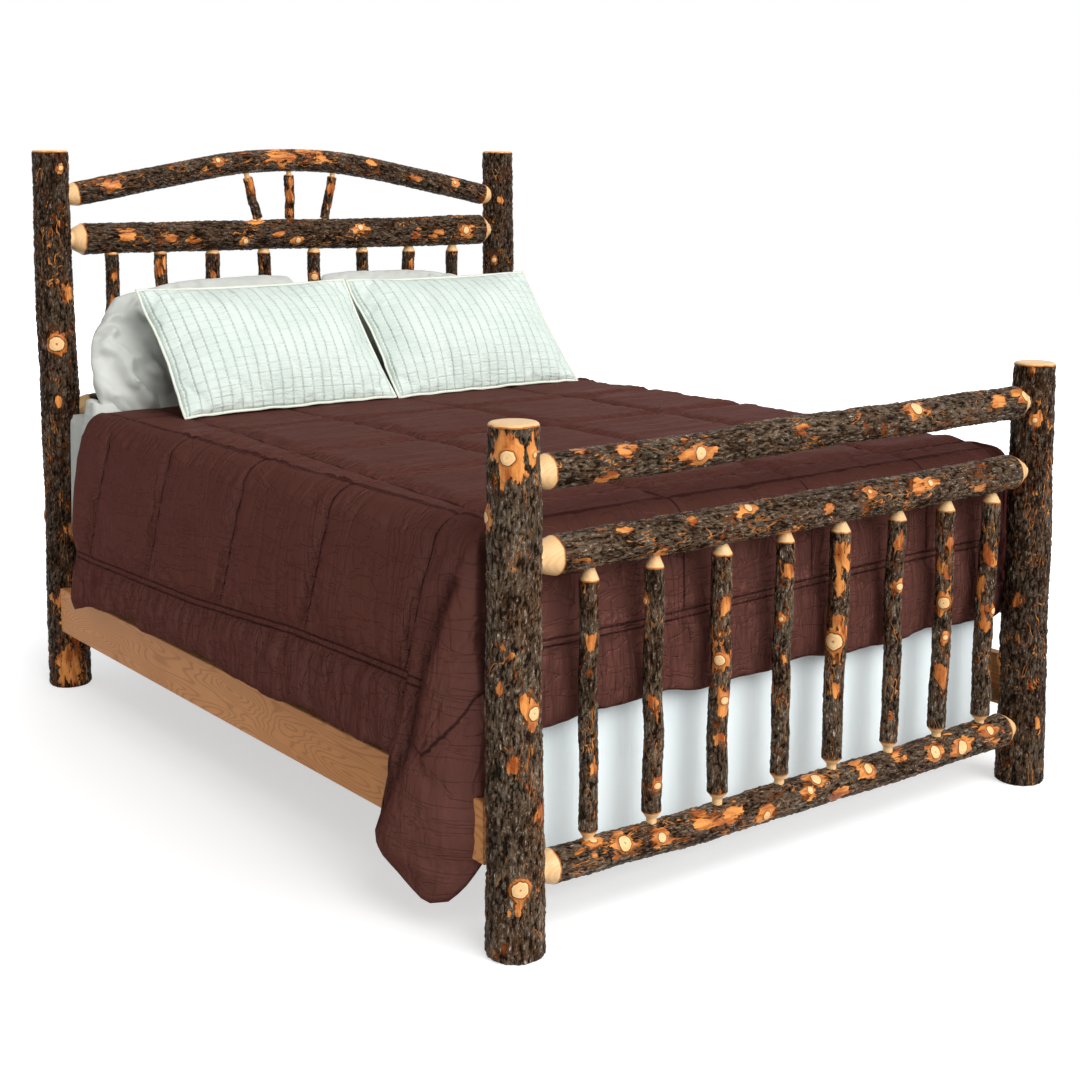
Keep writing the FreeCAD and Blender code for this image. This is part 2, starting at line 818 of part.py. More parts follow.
def make_slot_plate(node, frame, screws):
    """A steel plate let into the post's seat, with a slot for each hook."""
    half = size("plate_width") * 0.5
    tall = size("plate_height") * 0.5
    thickness = size("plate_thickness")
    plate = padded_body(f"{node}_plate", "XZ_Plane", rectangle(half, -tall, tall), thickness)
    plate.Placement = Placement(Vector(0, thickness.value / 2, 0), Rotation())
    wide, high = slot_sides()
    over = size("cut_overrun")
    tools = []
    for number, height in enumerate(hook_heights(), 1):
        low = height.value - value("fit_clearance")
        corner = Vector(-wide.value / 2, -over.value / 2, low)
        tools.append(block(f"{node}_slot_{number}", (wide, over, high), corner))
    places = []
    for offset in plate_screw_offsets():
        head, direction = place_of(frame, Vector(0, 0, offset), Y_AXIS)
        places.append(screws.add(head, direction))
    local = [frame.inverse().multiply(place) for place in places]
    tools.append(screws.tool(f"{node}_screw_holes", local))
    finished = cut_away(node, plate, tools)
    finished.Placement = frame
    keep(node, finished)
    return places


def post_seat_tools(name, side, end, screw_tool):
    """What is cut from a post: the rail's seat, the hooks' hollows and the screws' holes."""
    slack = size("fit_clearance")
    inner = value("side_rail_outer") - value("side_rail_thickness") - slack.value
    reach = size("post_x") + size("post_base_radius") + size("cut_overrun")
    width = reach - size("side_rail_outer") + size("side_rail_thickness") + slack
    depth = size("post_base_radius") + size("cut_overrun")
    height = size("side_rail_height") + slack * 2
    left = inner if side > 0 else -inner - width.value
    front = seat_y() - depth.value if end > 0 else -seat_y()
    corner = Vector(left, front, value("side_rail_bottom") - slack.value)
    tools = [block(f"{name}_seat", (width, depth, height), corner)]
    margin = size("relief_margin")
    wide, tall = slot_sides()
    wide = wide + margin * 2
    tall = tall + size("hook_drop") + margin * 2
    deep = (size("hook_reach") + margin) * 2
    for number, hook in enumerate(hook_heights(), 1):
        low = rail_middle_height() + hook.value - value("hook_drop") - margin.value
        corner = Vector(side * rail_middle_x() - wide.value / 2, end * seat_y() - deep.value / 2, low)
        tools.append(block(f"{name}_hollow_{number}", (wide, deep, tall), corner))
    tools.append(screw_tool)
    return tools


def make_side_rail(word, side, end_screws, cleat_screws):
    """A flat board from post to post, with eased edges and its screw holes."""
    node = f"side_rail_{word}"
    half = worked_out(f"{node}_half_length", rail_end_y())
    thick = size("side_rail_thickness") * 0.5
    tall = size("side_rail_height")
    body = padded_body(f"{node}_board", "XZ_Plane", rectangle(thick, NONE, tall), half * 2)
    round_edges(
        body, f"{node}_eased", "side_rail_edge_radius", lambda edge: edge.BoundBox.YLength > half.value
    )
    body.Placement = Placement(Vector(side * rail_middle_x(), 0, value("side_rail_bottom")), Rotation())
    keep(node, cut_away(node, body, [end_screws, cleat_screws]))


def cleat_inner_x():
    return value("side_rail_outer") - value("side_rail_thickness") - value("cleat_width")


def cleat_bottom():
    return value("side_rail_bottom") + value("cleat_rise")


def slat_bottom():
    return cleat_bottom() + value("cleat_height")


def make_cleat(word, side, tools):
    """A square strip on the inside of a side rail, which carries the slats."""
    node = f"cleat_{word}"
    half = size("cleat_length") * 0.5
    width = size("cleat_width")
    corner_x = cleat_inner_x() if side > 0 else -cleat_inner_x() - width.value
    strip = block(
        f"{node}_strip", (width, half * 2, size("cleat_height")), Vector(corner_x, -half.value, cleat_bottom())
    )
    keep(node, cut_away(node, strip, tools))


def make_slat(number, along, tools):
    """A board across the bed from cleat to cleat."""
    node = f"slat_{number}"
    reach = size("side_rail_outer") - size("side_rail_thickness") - size("slat_end_gap")
    corner = Vector(-reach.value, along - value("slat_width") / 2, slat_bottom())
    board = block(f"{node}_board", (reach * 2, size("slat_width"), size("slat_thickness")), corner)
    keep(node, cut_away(node, board, tools))


def make_post(kind, word, side, end, tools):
    """A turned-up log that stands on the floor, tapering to a chamfered top."""
    node = f"{kind}_post_{word}"
    base = size("post_base_radius")
    top = size(f"{kind}_post_top_radius")
    tall = size(f"{kind}_post_height")
    lower = size("post_base_chamfer")
    upper = size("post_top_chamfer")
    corners = [
        (NONE, NONE),
        (base - lower, NONE),
        (base, lower),
        (top, tall - upper),
        (top - upper, tall),
        (NONE, tall),
    ]
    body = turned_body(f"{node}_log", corners)
    body.Placement = Placement(Vector(side * value("post_x"), end * value("post_y"), 0), Rotation())
    keep(node, cut_away(node, body, tools))


# Heights and edges of the bedding


def box_spring_bottom():
    return slat_bottom() + value("slat_thickness")


def deck_bottom():
    return box_spring_bottom() + value("box_spring_height")


def mattress_bottom():
    return deck_bottom() + value("skirt_cloth")


def mattress_top():
    return mattress_bottom() + value("mattress_height")


def mattress_end(end):
    return value("mattress_shift") + end * value("mattress_length") / 2


def sheet_top():
    return mattress_top() + value("soft_clearance") + value("sheet_cloth")


def comforter_floor():
    return sheet_top() + value("soft_clearance")


def upholstered_block(node, height, edge_alias, bottom):
    """A box with rounded upright corners and softened edges above and below."""
    half_width = size("mattress_half_width")
    half_length = size("mattress_length") * 0.5
    body = padded_body(
        f"{node}_block", "XY_Plane", rectangle(half_width, -half_length, half_length), height
    )
    half_height = height.value / 2
    round_edges(
        body, f"{node}_corners", "mattress_corner_radius", lambda edge: edge.BoundBox.ZLength > half_height
    )
    round_edges(body, f"{node}_softened", edge_alias, lambda edge: edge.BoundBox.ZLength < half_height)
    middle = bottom + height.value / 2
    body.Placement = Placement(Vector(0, value("mattress_shift"), middle), Rotation())
    keep(node, body)


# Outlines of the cloth, in planes across the bed


def bulge(start, end, depth):
    """An arc that stands out from the straight line between two points, to its left."""
    along = end - start
    out = Vector(-along.z, 0, along.x).normalize()
    middle = (start + end) / 2 + out * depth
    return Part.Arc(start, middle, end).toShape()


def round_corner(start, corner, end):
    """An arc for a rounded corner, from one side to the next."""
    share = 1 - math.sqrt(0.5)
    middle = (start + end) / 2 * (2 * share) + corner * (1 - 2 * share)
    return Part.Arc(start, middle, end).toShape()


def straight(start, end):
    return Part.LineSegment(start, end).toShape()


def draped_outline(top, side, radius, left_hem, right_hem, flare):
    """A closed outline round the bed: up the left side, over the top and down the right side.

    side is where the cloth leaves the top's edge, flare how much further out its hems hang.
    """
    low_left = Vector(-side - flare, 0, left_hem)
    low_right = Vector(side + flare, 0, right_hem)
    left = Vector(-side, 0, top - radius)
    right = Vector(side, 0, top - radius)
    top_left = Vector(-side + radius, 0, top)
    top_right = Vector(side - radius, 0, top)
    edges = [
        straight(low_left, left),
        round_corner(left, Vector(-side, 0, top), top_left),
        straight(top_left, top_right),
        round_corner(top_right, Vector(side, 0, top), right),
        straight(right, low_right),
        straight(low_right, low_left),
    ]
    return Part.Wire(edges)


def run_along(wire, start, end):
    """A solid whose outline stays the same from one place along the bed to another."""
    placed = wire.copy()
    placed.translate(Vector(0, start, 0))
    return Part.Face(placed).extrude(Vector(0, end - start, 0))


def side_face():
    """Where the mattress's side is, with the gap that cloth keeps from it."""
    return value("mattress_half_width") + value("soft_clearance")


def make_top_sheet():
    """White cloth over the mattress, which shows between the comforter and the headboard."""
    cloth = value("sheet_cloth")
    start = mattress_end(-1)
    end = mattress_end(1) - value("sheet_head_inset")
    over = value("cut_overrun")
    flare = value("sheet_flare")
    radius = value("sheet_edge_radius")
    outer = draped_outline(
        sheet_top(), side_face() + cloth, radius, value("sheet_left_hem"), value("sheet_right_hem"), flare
    )
    low = value("sheet_left_hem") - over
    inner = draped_outline(
        sheet_top() - cloth, side_face(), radius - cloth, low, low, flare
    )
    shape = run_along(outer, start, end).cut(run_along(inner, start - over, end + over))
    keep("top_sheet", fixed_shape("top_sheet", shape.Solids[0], Placement()))


def skirt_line(height, fold_share):
    """The bed skirt's closed outline at one height: folds towards and away from the bed."""
    half = value("skirt_half_width")
    cloth = value("skirt_cloth") / 2
    fold = value("skirt_fold_depth") * fold_share / 2
    middle = mattress_end(-1) - value("skirt_clearance") - cloth
    places = [Vector(share * half, middle, height) for share in SKIRT_FOLD_SHARES]
    front = []
    back = []
    for number in range(len(places) - 1):
        side = 1 if number % 2 else -1
        between = (places[number] + places[number + 1]) / 2
        for edges, offset in ((front, -cloth), (back, cloth)):
            shift = Vector(0, offset, 0)
            bend = Vector(0, side * fold, 0)
            edges.append(
                Part.Arc(places[number] + shift, between + shift + bend, places[number + 1] + shift).toShape()
            )
    ends = []
    for place in (places[0], places[-1]):
        ends.append(straight(place - Vector(0, cloth, 0), place + Vector(0, cloth, 0)))
    return Part.Wire(Part.__sortEdges__(front + back + ends))


def make_bed_skirt():
    """Pale cloth that lies on the box spring and hangs down in folds at the foot."""
    cloth = value("skirt_cloth")
    top = deck_bottom() + cloth
    lines = [
        skirt_line(top, SKIRT_TOP_FOLD_SHARE),
        skirt_line((top + value("skirt_hem_height")) / 2, 1.0),
        skirt_line(value("skirt_hem_height"), 1.0),
    ]
    hanging = Part.makeLoft(lines, True, True)
    half = value("skirt_half_width")
    front = mattress_end(-1) - value("skirt_clearance") - cloth / 2
    length = mattress_end(1) - value("mattress_corner_radius") - front
    deck = Part.makeBox(half * 2, length, cloth, Vector(-half, front, deck_bottom()))
    shape = hanging.fuse(deck)
    keep("bed_skirt", fixed_shape("bed_skirt", shape.Solids[0], Placement()))


def comforter_stations():
    """Places along the bed from the head edge to the foot, each with its share of the panels' loft."""
    half = value("mattress_length") / 2
    seams = [value("comforter_head_edge")]
    seams += [share * half for share in CROSS_SEAM_SHARES]
    seams.append(mattress_end(-1))
    stations = []
    for start, end in zip(seams[:-1], seams[1:]):
        for step, loft in zip(PANEL_STEP_SHARES, PANEL_LOFT_SHARES):
            stations.append((start + (end - start) * step, loft))
    stations.append((seams[-1], PANEL_LOFT_SHARES[0]))
    return stations


def left_hem_at(along):
    """The left hem's height: level to near the foot, then down to the flap's tip and up again."""
    hem = value("comforter_left_hem")
    drop = hem - value("comforter_flap_hem")
    half = value("mattress_length") / 2
    places = [share * half for share in FLAP_PLACE_SHARES]
    if along >= places[0]:
        return hem
    for number in range(len(places) - 1):
        if along >= places[number + 1]:
            step = (places[number] - along) / (places[number] - places[number + 1])
            low, high = FLAP_DROP_SHARES[number], FLAP_DROP_SHARES[number + 1]
            return hem - drop * (low + (high - low) * step)
    return hem - drop * FLAP_DROP_SHARES[-1]


def comforter_line(along, loft, top_drop, draw_in, left_hem, right_hem):
    """The comforter's closed outer outline at one place: crowned panels between seams."""
    seam_top = comforter_floor() + value("comforter_seam_loft") - top_drop
    crown = (value("comforter_crown_loft") - value("comforter_seam_loft")) * loft
    least = value("soft_clearance")
    crown = max(crown, least)
    full_side = side_face() + value("sheet_cloth") + value("soft_clearance") + value("comforter_side_loft")
    side = full_side - draw_in
    left_reach = value("comforter_left_reach") - draw_in
    right_reach = value("comforter_right_reach") - draw_in
    radius = value("comforter_edge_radius")
    half = value("mattress_half_width") * side / full_side
    hem_crown = max(value("comforter_hem_crown") * loft, least)
    left_low = Vector(-left_reach, 0, left_hem)
    right_low = Vector(right_reach, 0, right_hem)
    left = Vector(-side, 0, seam_top - radius)
    right = Vector(side, 0, seam_top - radius)
    left_seam = left_low + (left - left_low) * SIDE_SEAM_SHARE
    top_left = Vector(-side + radius, 0, seam_top)
    top_right = Vector(side - radius, 0, seam_top)
    seams = [Vector(share * half, 0, seam_top) for share in LENGTH_SEAM_SHARES]
    edges = [
        bulge(left_low, left_seam, hem_crown),
        bulge(left_seam, left, hem_crown),
        round_corner(left, Vector(-side, 0, seam_top), top_left),
    ]
    top_points = [top_left] + seams + [top_right]
    for start, end in zip(top_points[:-1], top_points[1:]):
        share = min(1.0, (end.x - start.x) / (half / 2))
        edges.append(bulge(start, end, crown * share))
    edges.append(round_corner(top_right, Vector(side, 0, seam_top), right))
    edges.append(bulge(right, right_low, hem_crown))
    edges.append(straight(right_low, left_low))
    wire = Part.Wire(edges)
    wire.translate(Vector(0, along, 0))
    return wire


def comforter_foot_lines():
    """The foot end's outlines, which draw in to pass between the posts and round over the top."""
    start = mattress_end(-1)
    reach = value("comforter_foot_reach")
    pull = value("comforter_right_reach") - value("comforter_foot_half_width")
    loft = value("comforter_seam_loft") + value("comforter_side_loft")
    lines = []
    right_hem = value("comforter_right_hem")
    for step, drop, draw in zip(FOOT_STEP_SHARES, FOOT_TOP_DROP_SHARES, FOOT_DRAW_SHARES):
        along = start - reach * step
        left_hem = left_hem_at(along)
        lines.append(comforter_line(along, 0.0, loft * drop, pull * draw, left_hem, right_hem))
    return lines


def comforter_hollow():
    """The space under the comforter: the sheeted mattress, and room to hang outside the side rails."""
    over = value("cut_overrun")
    floor = comforter_floor()
    side = side_face() + value("sheet_cloth") + value("soft_clearance")
    outside = value("side_rail_outer") + value("comforter_rail_gap")
    rail_top = value("side_rail_bottom") + value("side_rail_height")
    radius = value("sheet_edge_radius")
    bottom = -over
    points = {
        "low_left": Vector(-outside, 0, bottom),
        "rail_left": Vector(-outside, 0, rail_top),
        "left": Vector(-side, 0, floor - radius),
        "top_left": Vector(-side + radius, 0, floor),
        "top_right": Vector(side - radius, 0, floor),
        "right": Vector(side, 0, floor - radius),
        "rail_right": Vector(outside, 0, rail_top),
        "low_right": Vector(outside, 0, bottom),
    }
    edges = [
        straight(points["low_left"], points["rail_left"]),
        straight(points["rail_left"], points["left"]),
        round_corner(points["left"], Vector(-side, 0, floor), points["top_left"]),
        straight(points["top_left"], points["top_right"]),
        round_corner(points["top_right"], Vector(side, 0, floor), points["right"]),
        straight(points["right"], points["rail_right"]),
        straight(points["rail_right"], points["low_right"]),
        straight(points["low_right"], points["low_left"]),
    ]
    inner_foot = mattress_end(-1) - value("skirt_clearance") - value("skirt_cloth")
    inner_foot -= value("skirt_fold_depth") / 2 + value("soft_clearance")
    return run_along(Part.Wire(edges), inner_foot, value("comforter_head_edge") + over)


def comforter_foot_tools():
    """What is cut from the foot drop: the space below its hem, and the furrows of its seams."""
    over = value("cut_overrun")
    half = value("comforter_right_reach")
    inner = value("side_rail_outer") + value("comforter_rail_gap")
    hem = value("comforter_foot_hem")
    start = mattress_end(-1)
    face = start - value("comforter_foot_reach")
    deep = value("comforter_foot_reach") + over
    tools = [Part.makeBox(inner + half, deep, hem + over, Vector(-inner, face - over, -over))]
    furrow = value("comforter_foot_seam_dip")
    top = comforter_floor()
    for share in LENGTH_SEAM_SHARES:
        place = Vector(share * value("mattress_half_width"), face - furrow / 2, hem - over)
        tools.append(Part.makeCylinder(furrow, top - hem, place, Z_AXIS))
    level = hem + (top - hem) * FOOT_SEAM_SHARE
    place = Vector(-half, face - furrow / 2, level)
    tools.append(Part.makeCylinder(furrow, half * 2, place, X_AXIS))
    return tools


def make_comforter():
    """A quilted cover with crowned panels, hanging over both sides and the foot."""
    right_hem = value("comforter_right_hem")
    lines = []
    for along, loft in comforter_stations():
        lines.append(comforter_line(along, loft, 0.0, 0.0, left_hem_at(along), right_hem))
    lines += comforter_foot_lines()
    outer = Part.makeLoft(lines, True, True)
    shape = outer.cut([comforter_hollow()] + comforter_foot_tools())
    solids = sorted(shape.Solids, key=lambda solid: solid.Volume)
    keep("comforter", fixed_shape("comforter", solids[-1], Placement()))


# Cushions


def cushion_line(half_width, half_length, height, side_dip, end_dip):
    """One closed outline of a cushion, its sides drawn in between pointed corners."""
    corners = [
        Vector(-half_width, -half_length, height),
        Vector(half_width, -half_length, height),
        Vector(half_width, half_length, height),
        Vector(-half_width, half_length, height),
    ]
    middles = [
        Vector(0, -half_length + end_dip, height),
        Vector(half_width - side_dip, 0, height),
        Vector(0, half_length - end_dip, height),
        Vector(-half_width + side_dip, 0, height),
    ]
    edges = []
    for number, middle in enumerate(middles):
        edges.append(Part.Arc(corners[number], middle, corners[(number + 1) % 4]).toShape())
    return Part.Wire(edges)


def cushion_shape(kind):
    """A cushion that swells from a seam round its edge to a crown on each face."""
    half_width = value(f"{kind}_width") / 2
    half_length = value(f"{kind}_length") / 2
    half_thick = value(f"{kind}_thickness") / 2
    levels = list(zip(CUSHION_OUTLINE_SHARES, CUSHION_HEIGHT_SHARES))
    below = [(outline, -height) for outline, height in reversed(levels[1:])]
    lines = []
    for outline, height in below + levels:
        lines.append(
            cushion_line(
                half_width * outline, half_length * outline, half_thick * height,
                value("cushion_side_dip") * outline, value("cushion_end_dip") * outline,
            )
        )
    return Part.makeLoft(lines, True, False)


def make_cushion(node, kind, across, rest_height):
    """A cushion that leans back, its lower seam resting at a height."""
    tilt = value(f"{kind}_tilt")
    lean = Rotation(X_AXIS, tilt)
    half_length = value(f"{kind}_length") / 2
    lower_edge = Vector(across, value(f"{kind}_foot_edge"), rest_height)
    middle = lower_edge + lean.multVec(Y_AXIS) * half_length
    keep(node, fixed_shape(node, cushion_shape(kind), Placement(middle, lean)))


# The whole bed


def make_frame():
    foot_top = Rail("foot_top_rail", "foot", "foot_top")
    foot_mid = Rail("foot_mid_rail", "foot", "foot_mid")
    foot_bottom = Rail("foot_bottom_rail", "foot", "foot_bottom")
    head_mid = Rail("head_mid_rail", "head", "head_mid")
    head_lower = Rail("head_lower_rail", "head", "head_lower")
    arch = Arch()
    make_spindle_row(
        "foot", foot_bottom, foot_mid, FOOT_SPINDLE_BOTTOM_SHARES, FOOT_SPINDLE_TOP_SHARES,
        FOOT_SPINDLE_RADIUS_SHARES,
    )
    make_spindle_row(
        "head", head_lower, head_mid, HEAD_SPINDLE_SHARES, HEAD_SPINDLE_SHARES,
        HEAD_SPINDLE_RADIUS_SHARES,
    )
    make_fans(head_mid, arch)
    rails = {"foot": (foot_top, foot_mid, foot_bottom), "head": (head_mid, head_lower, arch)}
    tools = {("foot", "left"): [], ("foot", "right"): [], ("head", "left"): [], ("head", "right"): []}
    for kind, logs in rails.items():
        for log in logs:
            log.make()
            left, right = log.post_holes()
            tools[(kind, "left")].append(left)
            tools[(kind, "right")].append(right)
    return tools


def make_sides(post_tools):
    """Side rails, their hooks and slot plates, the cleats, the slats and all their screws."""
    hook_screws = ScrewSet("hook_plate_screws", "plate_screw_length")
    slot_screws = ScrewSet("slot_plate_screws", "plate_screw_length")
    cleat_screws = ScrewSet("cleat_screws", "cleat_screw_length")
    slat_screws = ScrewSet("slat_screws", "slat_screw_length")
    rail_ends = {"left": [], "right": []}
    for kind, word, side, end in corner_places():
        name = f"{kind}_{word}"
        hook_frame = corner_placement(side, end, hook_plate_face())
        rail_ends[word] += make_hook_plate(f"hook_plate_{name}", hook_frame, hook_screws)
        slot_frame = corner_placement(side, end, slot_plate_face())
        places = make_slot_plate(f"slot_plate_{name}", slot_frame, slot_screws)
        screw_tool = slot_screws.tool(f"{name}_post_screw_holes", places)
        post_tools[(kind, word)] += post_seat_tools(name, side, end, screw_tool)
    half = value("cleat_length") / 2
    slat_top = slat_bottom() + value("slat_thickness")
    slat_places = {"left": [], "right": []}
    by_slat = {}
    for number, share in enumerate(SLAT_SHARES, 1):
        by_slat[number] = []
        for word, side in (("left", -1), ("right", 1)):
            across = side * (cleat_inner_x() + value("cleat_width") / 2)
            place = slat_screws.add(Vector(across, share * half, slat_top), -Z_AXIS)
            slat_places[word].append(place)
            by_slat[number].append(place)
    for word, side in (("left", -1), ("right", 1)):
        places = []
        middle = cleat_bottom() + value("cleat_height") / 2
        for share in CLEAT_SCREW_SHARES:
            head = Vector(side * cleat_inner_x(), share * half, middle)
            places.append(cleat_screws.add(head, X_AXIS * side))
        end_tool = hook_screws.tool(f"{word}_rail_end_holes", rail_ends[word])
        rail_tool = cleat_screws.tool(f"{word}_rail_side_holes", places)
        make_side_rail(word, side, end_tool, rail_tool)
        cleat_tools = [
            cleat_screws.tool(f"{word}_cleat_side_holes", places),
            slat_screws.tool(f"{word}_cleat_top_holes", slat_places[word]),
        ]
        make_cleat(word, side, cleat_tools)
    for number, share in enumerate(SLAT_SHARES, 1):
        make_slat(number, share * half, [slat_screws.tool(f"slat_{number}_holes", by_slat[number])])
    for screws in (hook_screws, slot_screws, cleat_screws, slat_screws):
        screws.make()


def make_posts(post_tools):
    for kind, word, side, end in corner_places():
        make_post(kind, word, side, end, post_tools[(kind, word)])


def make_bedding():
    upholstered_block(
        "box_spring", size("box_spring_height"), "box_spring_edge_radius", box_spring_bottom()
    )
    upholstered_block("mattress", size("mattress_height"), "mattress_edge_radius", mattress_bottom())
    make_bed_skirt()
    make_top_sheet()
    make_comforter()
    crown = comforter_floor() + value("comforter_crown_loft")
    pillow_rest = sheet_top() + value("pillow_rest_gap")
    for word in ("left", "right"):
        make_cushion(f"pillow_{word}", "pillow", value(f"{word}_pillow_x"), pillow_rest)
        sham_rest = crown - value(f"{word}_sham_sink")
        make_cushion(f"sham_{word}", "sham", value(f"{word}_sham_x"), sham_rest)


def check_document():
    """Stop if any object failed, or any piece has no valid solid."""
    for item in doc.Objects:
        if "Invalid" in item.State or "Error" in item.State:
            raise RuntimeError(f"{item.Name} failed: {item.State}")
    for node, piece in parts.items():
        if piece.Shape.isNull() or not piece.Shape.isValid() or not piece.Shape.Solids:
            raise RuntimeError(f"{node} has no valid solid")


def write_parts():
    os.makedirs("parts", exist_ok=True)
    for node, piece in parts.items():
        piece.Shape.exportStep(f"parts/{node}.step")


post_tools = make_frame()
make_sides(post_tools)
make_posts(post_tools)
make_bedding()
doc.recompute()
check_document()
write_parts()
print(f"{len(parts)} pieces written")
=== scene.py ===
"""The rustic log bed: bark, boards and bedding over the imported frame.

Metres, +Z up, +Y to the headboard, origin on the floor under the middle of the bed.
"""

import itertools
import math

import bpy
import numpy as np
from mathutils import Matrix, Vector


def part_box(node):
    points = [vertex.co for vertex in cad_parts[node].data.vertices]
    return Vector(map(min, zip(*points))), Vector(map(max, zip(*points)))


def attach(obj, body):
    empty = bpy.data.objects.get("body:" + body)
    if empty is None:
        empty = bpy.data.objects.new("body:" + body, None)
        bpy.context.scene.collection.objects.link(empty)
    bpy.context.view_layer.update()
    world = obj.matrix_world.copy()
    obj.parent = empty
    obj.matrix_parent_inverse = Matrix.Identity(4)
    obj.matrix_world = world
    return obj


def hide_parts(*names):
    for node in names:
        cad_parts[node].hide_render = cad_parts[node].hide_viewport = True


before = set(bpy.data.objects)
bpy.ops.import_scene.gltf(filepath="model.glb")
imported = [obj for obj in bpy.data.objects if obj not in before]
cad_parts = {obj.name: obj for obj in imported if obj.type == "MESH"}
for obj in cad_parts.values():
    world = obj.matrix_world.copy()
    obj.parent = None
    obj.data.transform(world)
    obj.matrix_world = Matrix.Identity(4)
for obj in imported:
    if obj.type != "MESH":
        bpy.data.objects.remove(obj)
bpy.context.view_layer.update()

BED = "bed"
RIGHT = np.array([1.0, 0.0, 0.0])
FRONT = np.array([0.0, -1.0, 0.0])

# Camera, fitted to the photo
CAMERA_PLACE = (-2.6387, -3.6395, 1.5209)
CAMERA_YAW = -37.677
CAMERA_PITCH = -8.009
CAMERA_LENS = 57.61
CAMERA_SHIFT = (-0.0144, -0.1296)

# Logs: distance between vertices, how far the bark stands up and how far a log wanders from its axis
POST_STEP = 0.0040
RAIL_STEP = 0.0038
SPINDLE_STEP = 0.0033
POST_RELIEF = 0.0021
RAIL_RELIEF = 0.0019
SPINDLE_RELIEF = 0.0011
POST_CROOK = 0.003
RAIL_CROOK = 0.0035
SPINDLE_CROOK = 0.004
BOTTOM_RAIL_SAG = 0.010
FAR = 9.0

# The arch: heights of its ends, its crown and its bend, as in the frame
ARCH_LEFT_HEIGHT = 1.404
ARCH_RIGHT_HEIGHT = 1.384
ARCH_CROWN_X = -0.014
ARCH_BEND = 1.744
ARCH_RADIUS = 0.034
ARCH_CONE = 0.026
RAIL_TENON_RADIUS = 0.025

# Tenons: length and radius
RAIL_TENON = (0.045, RAIL_TENON_RADIUS)
SPINDLE_TENON = (0.026, 0.011)
FAN_TENON = (0.026, 0.008)

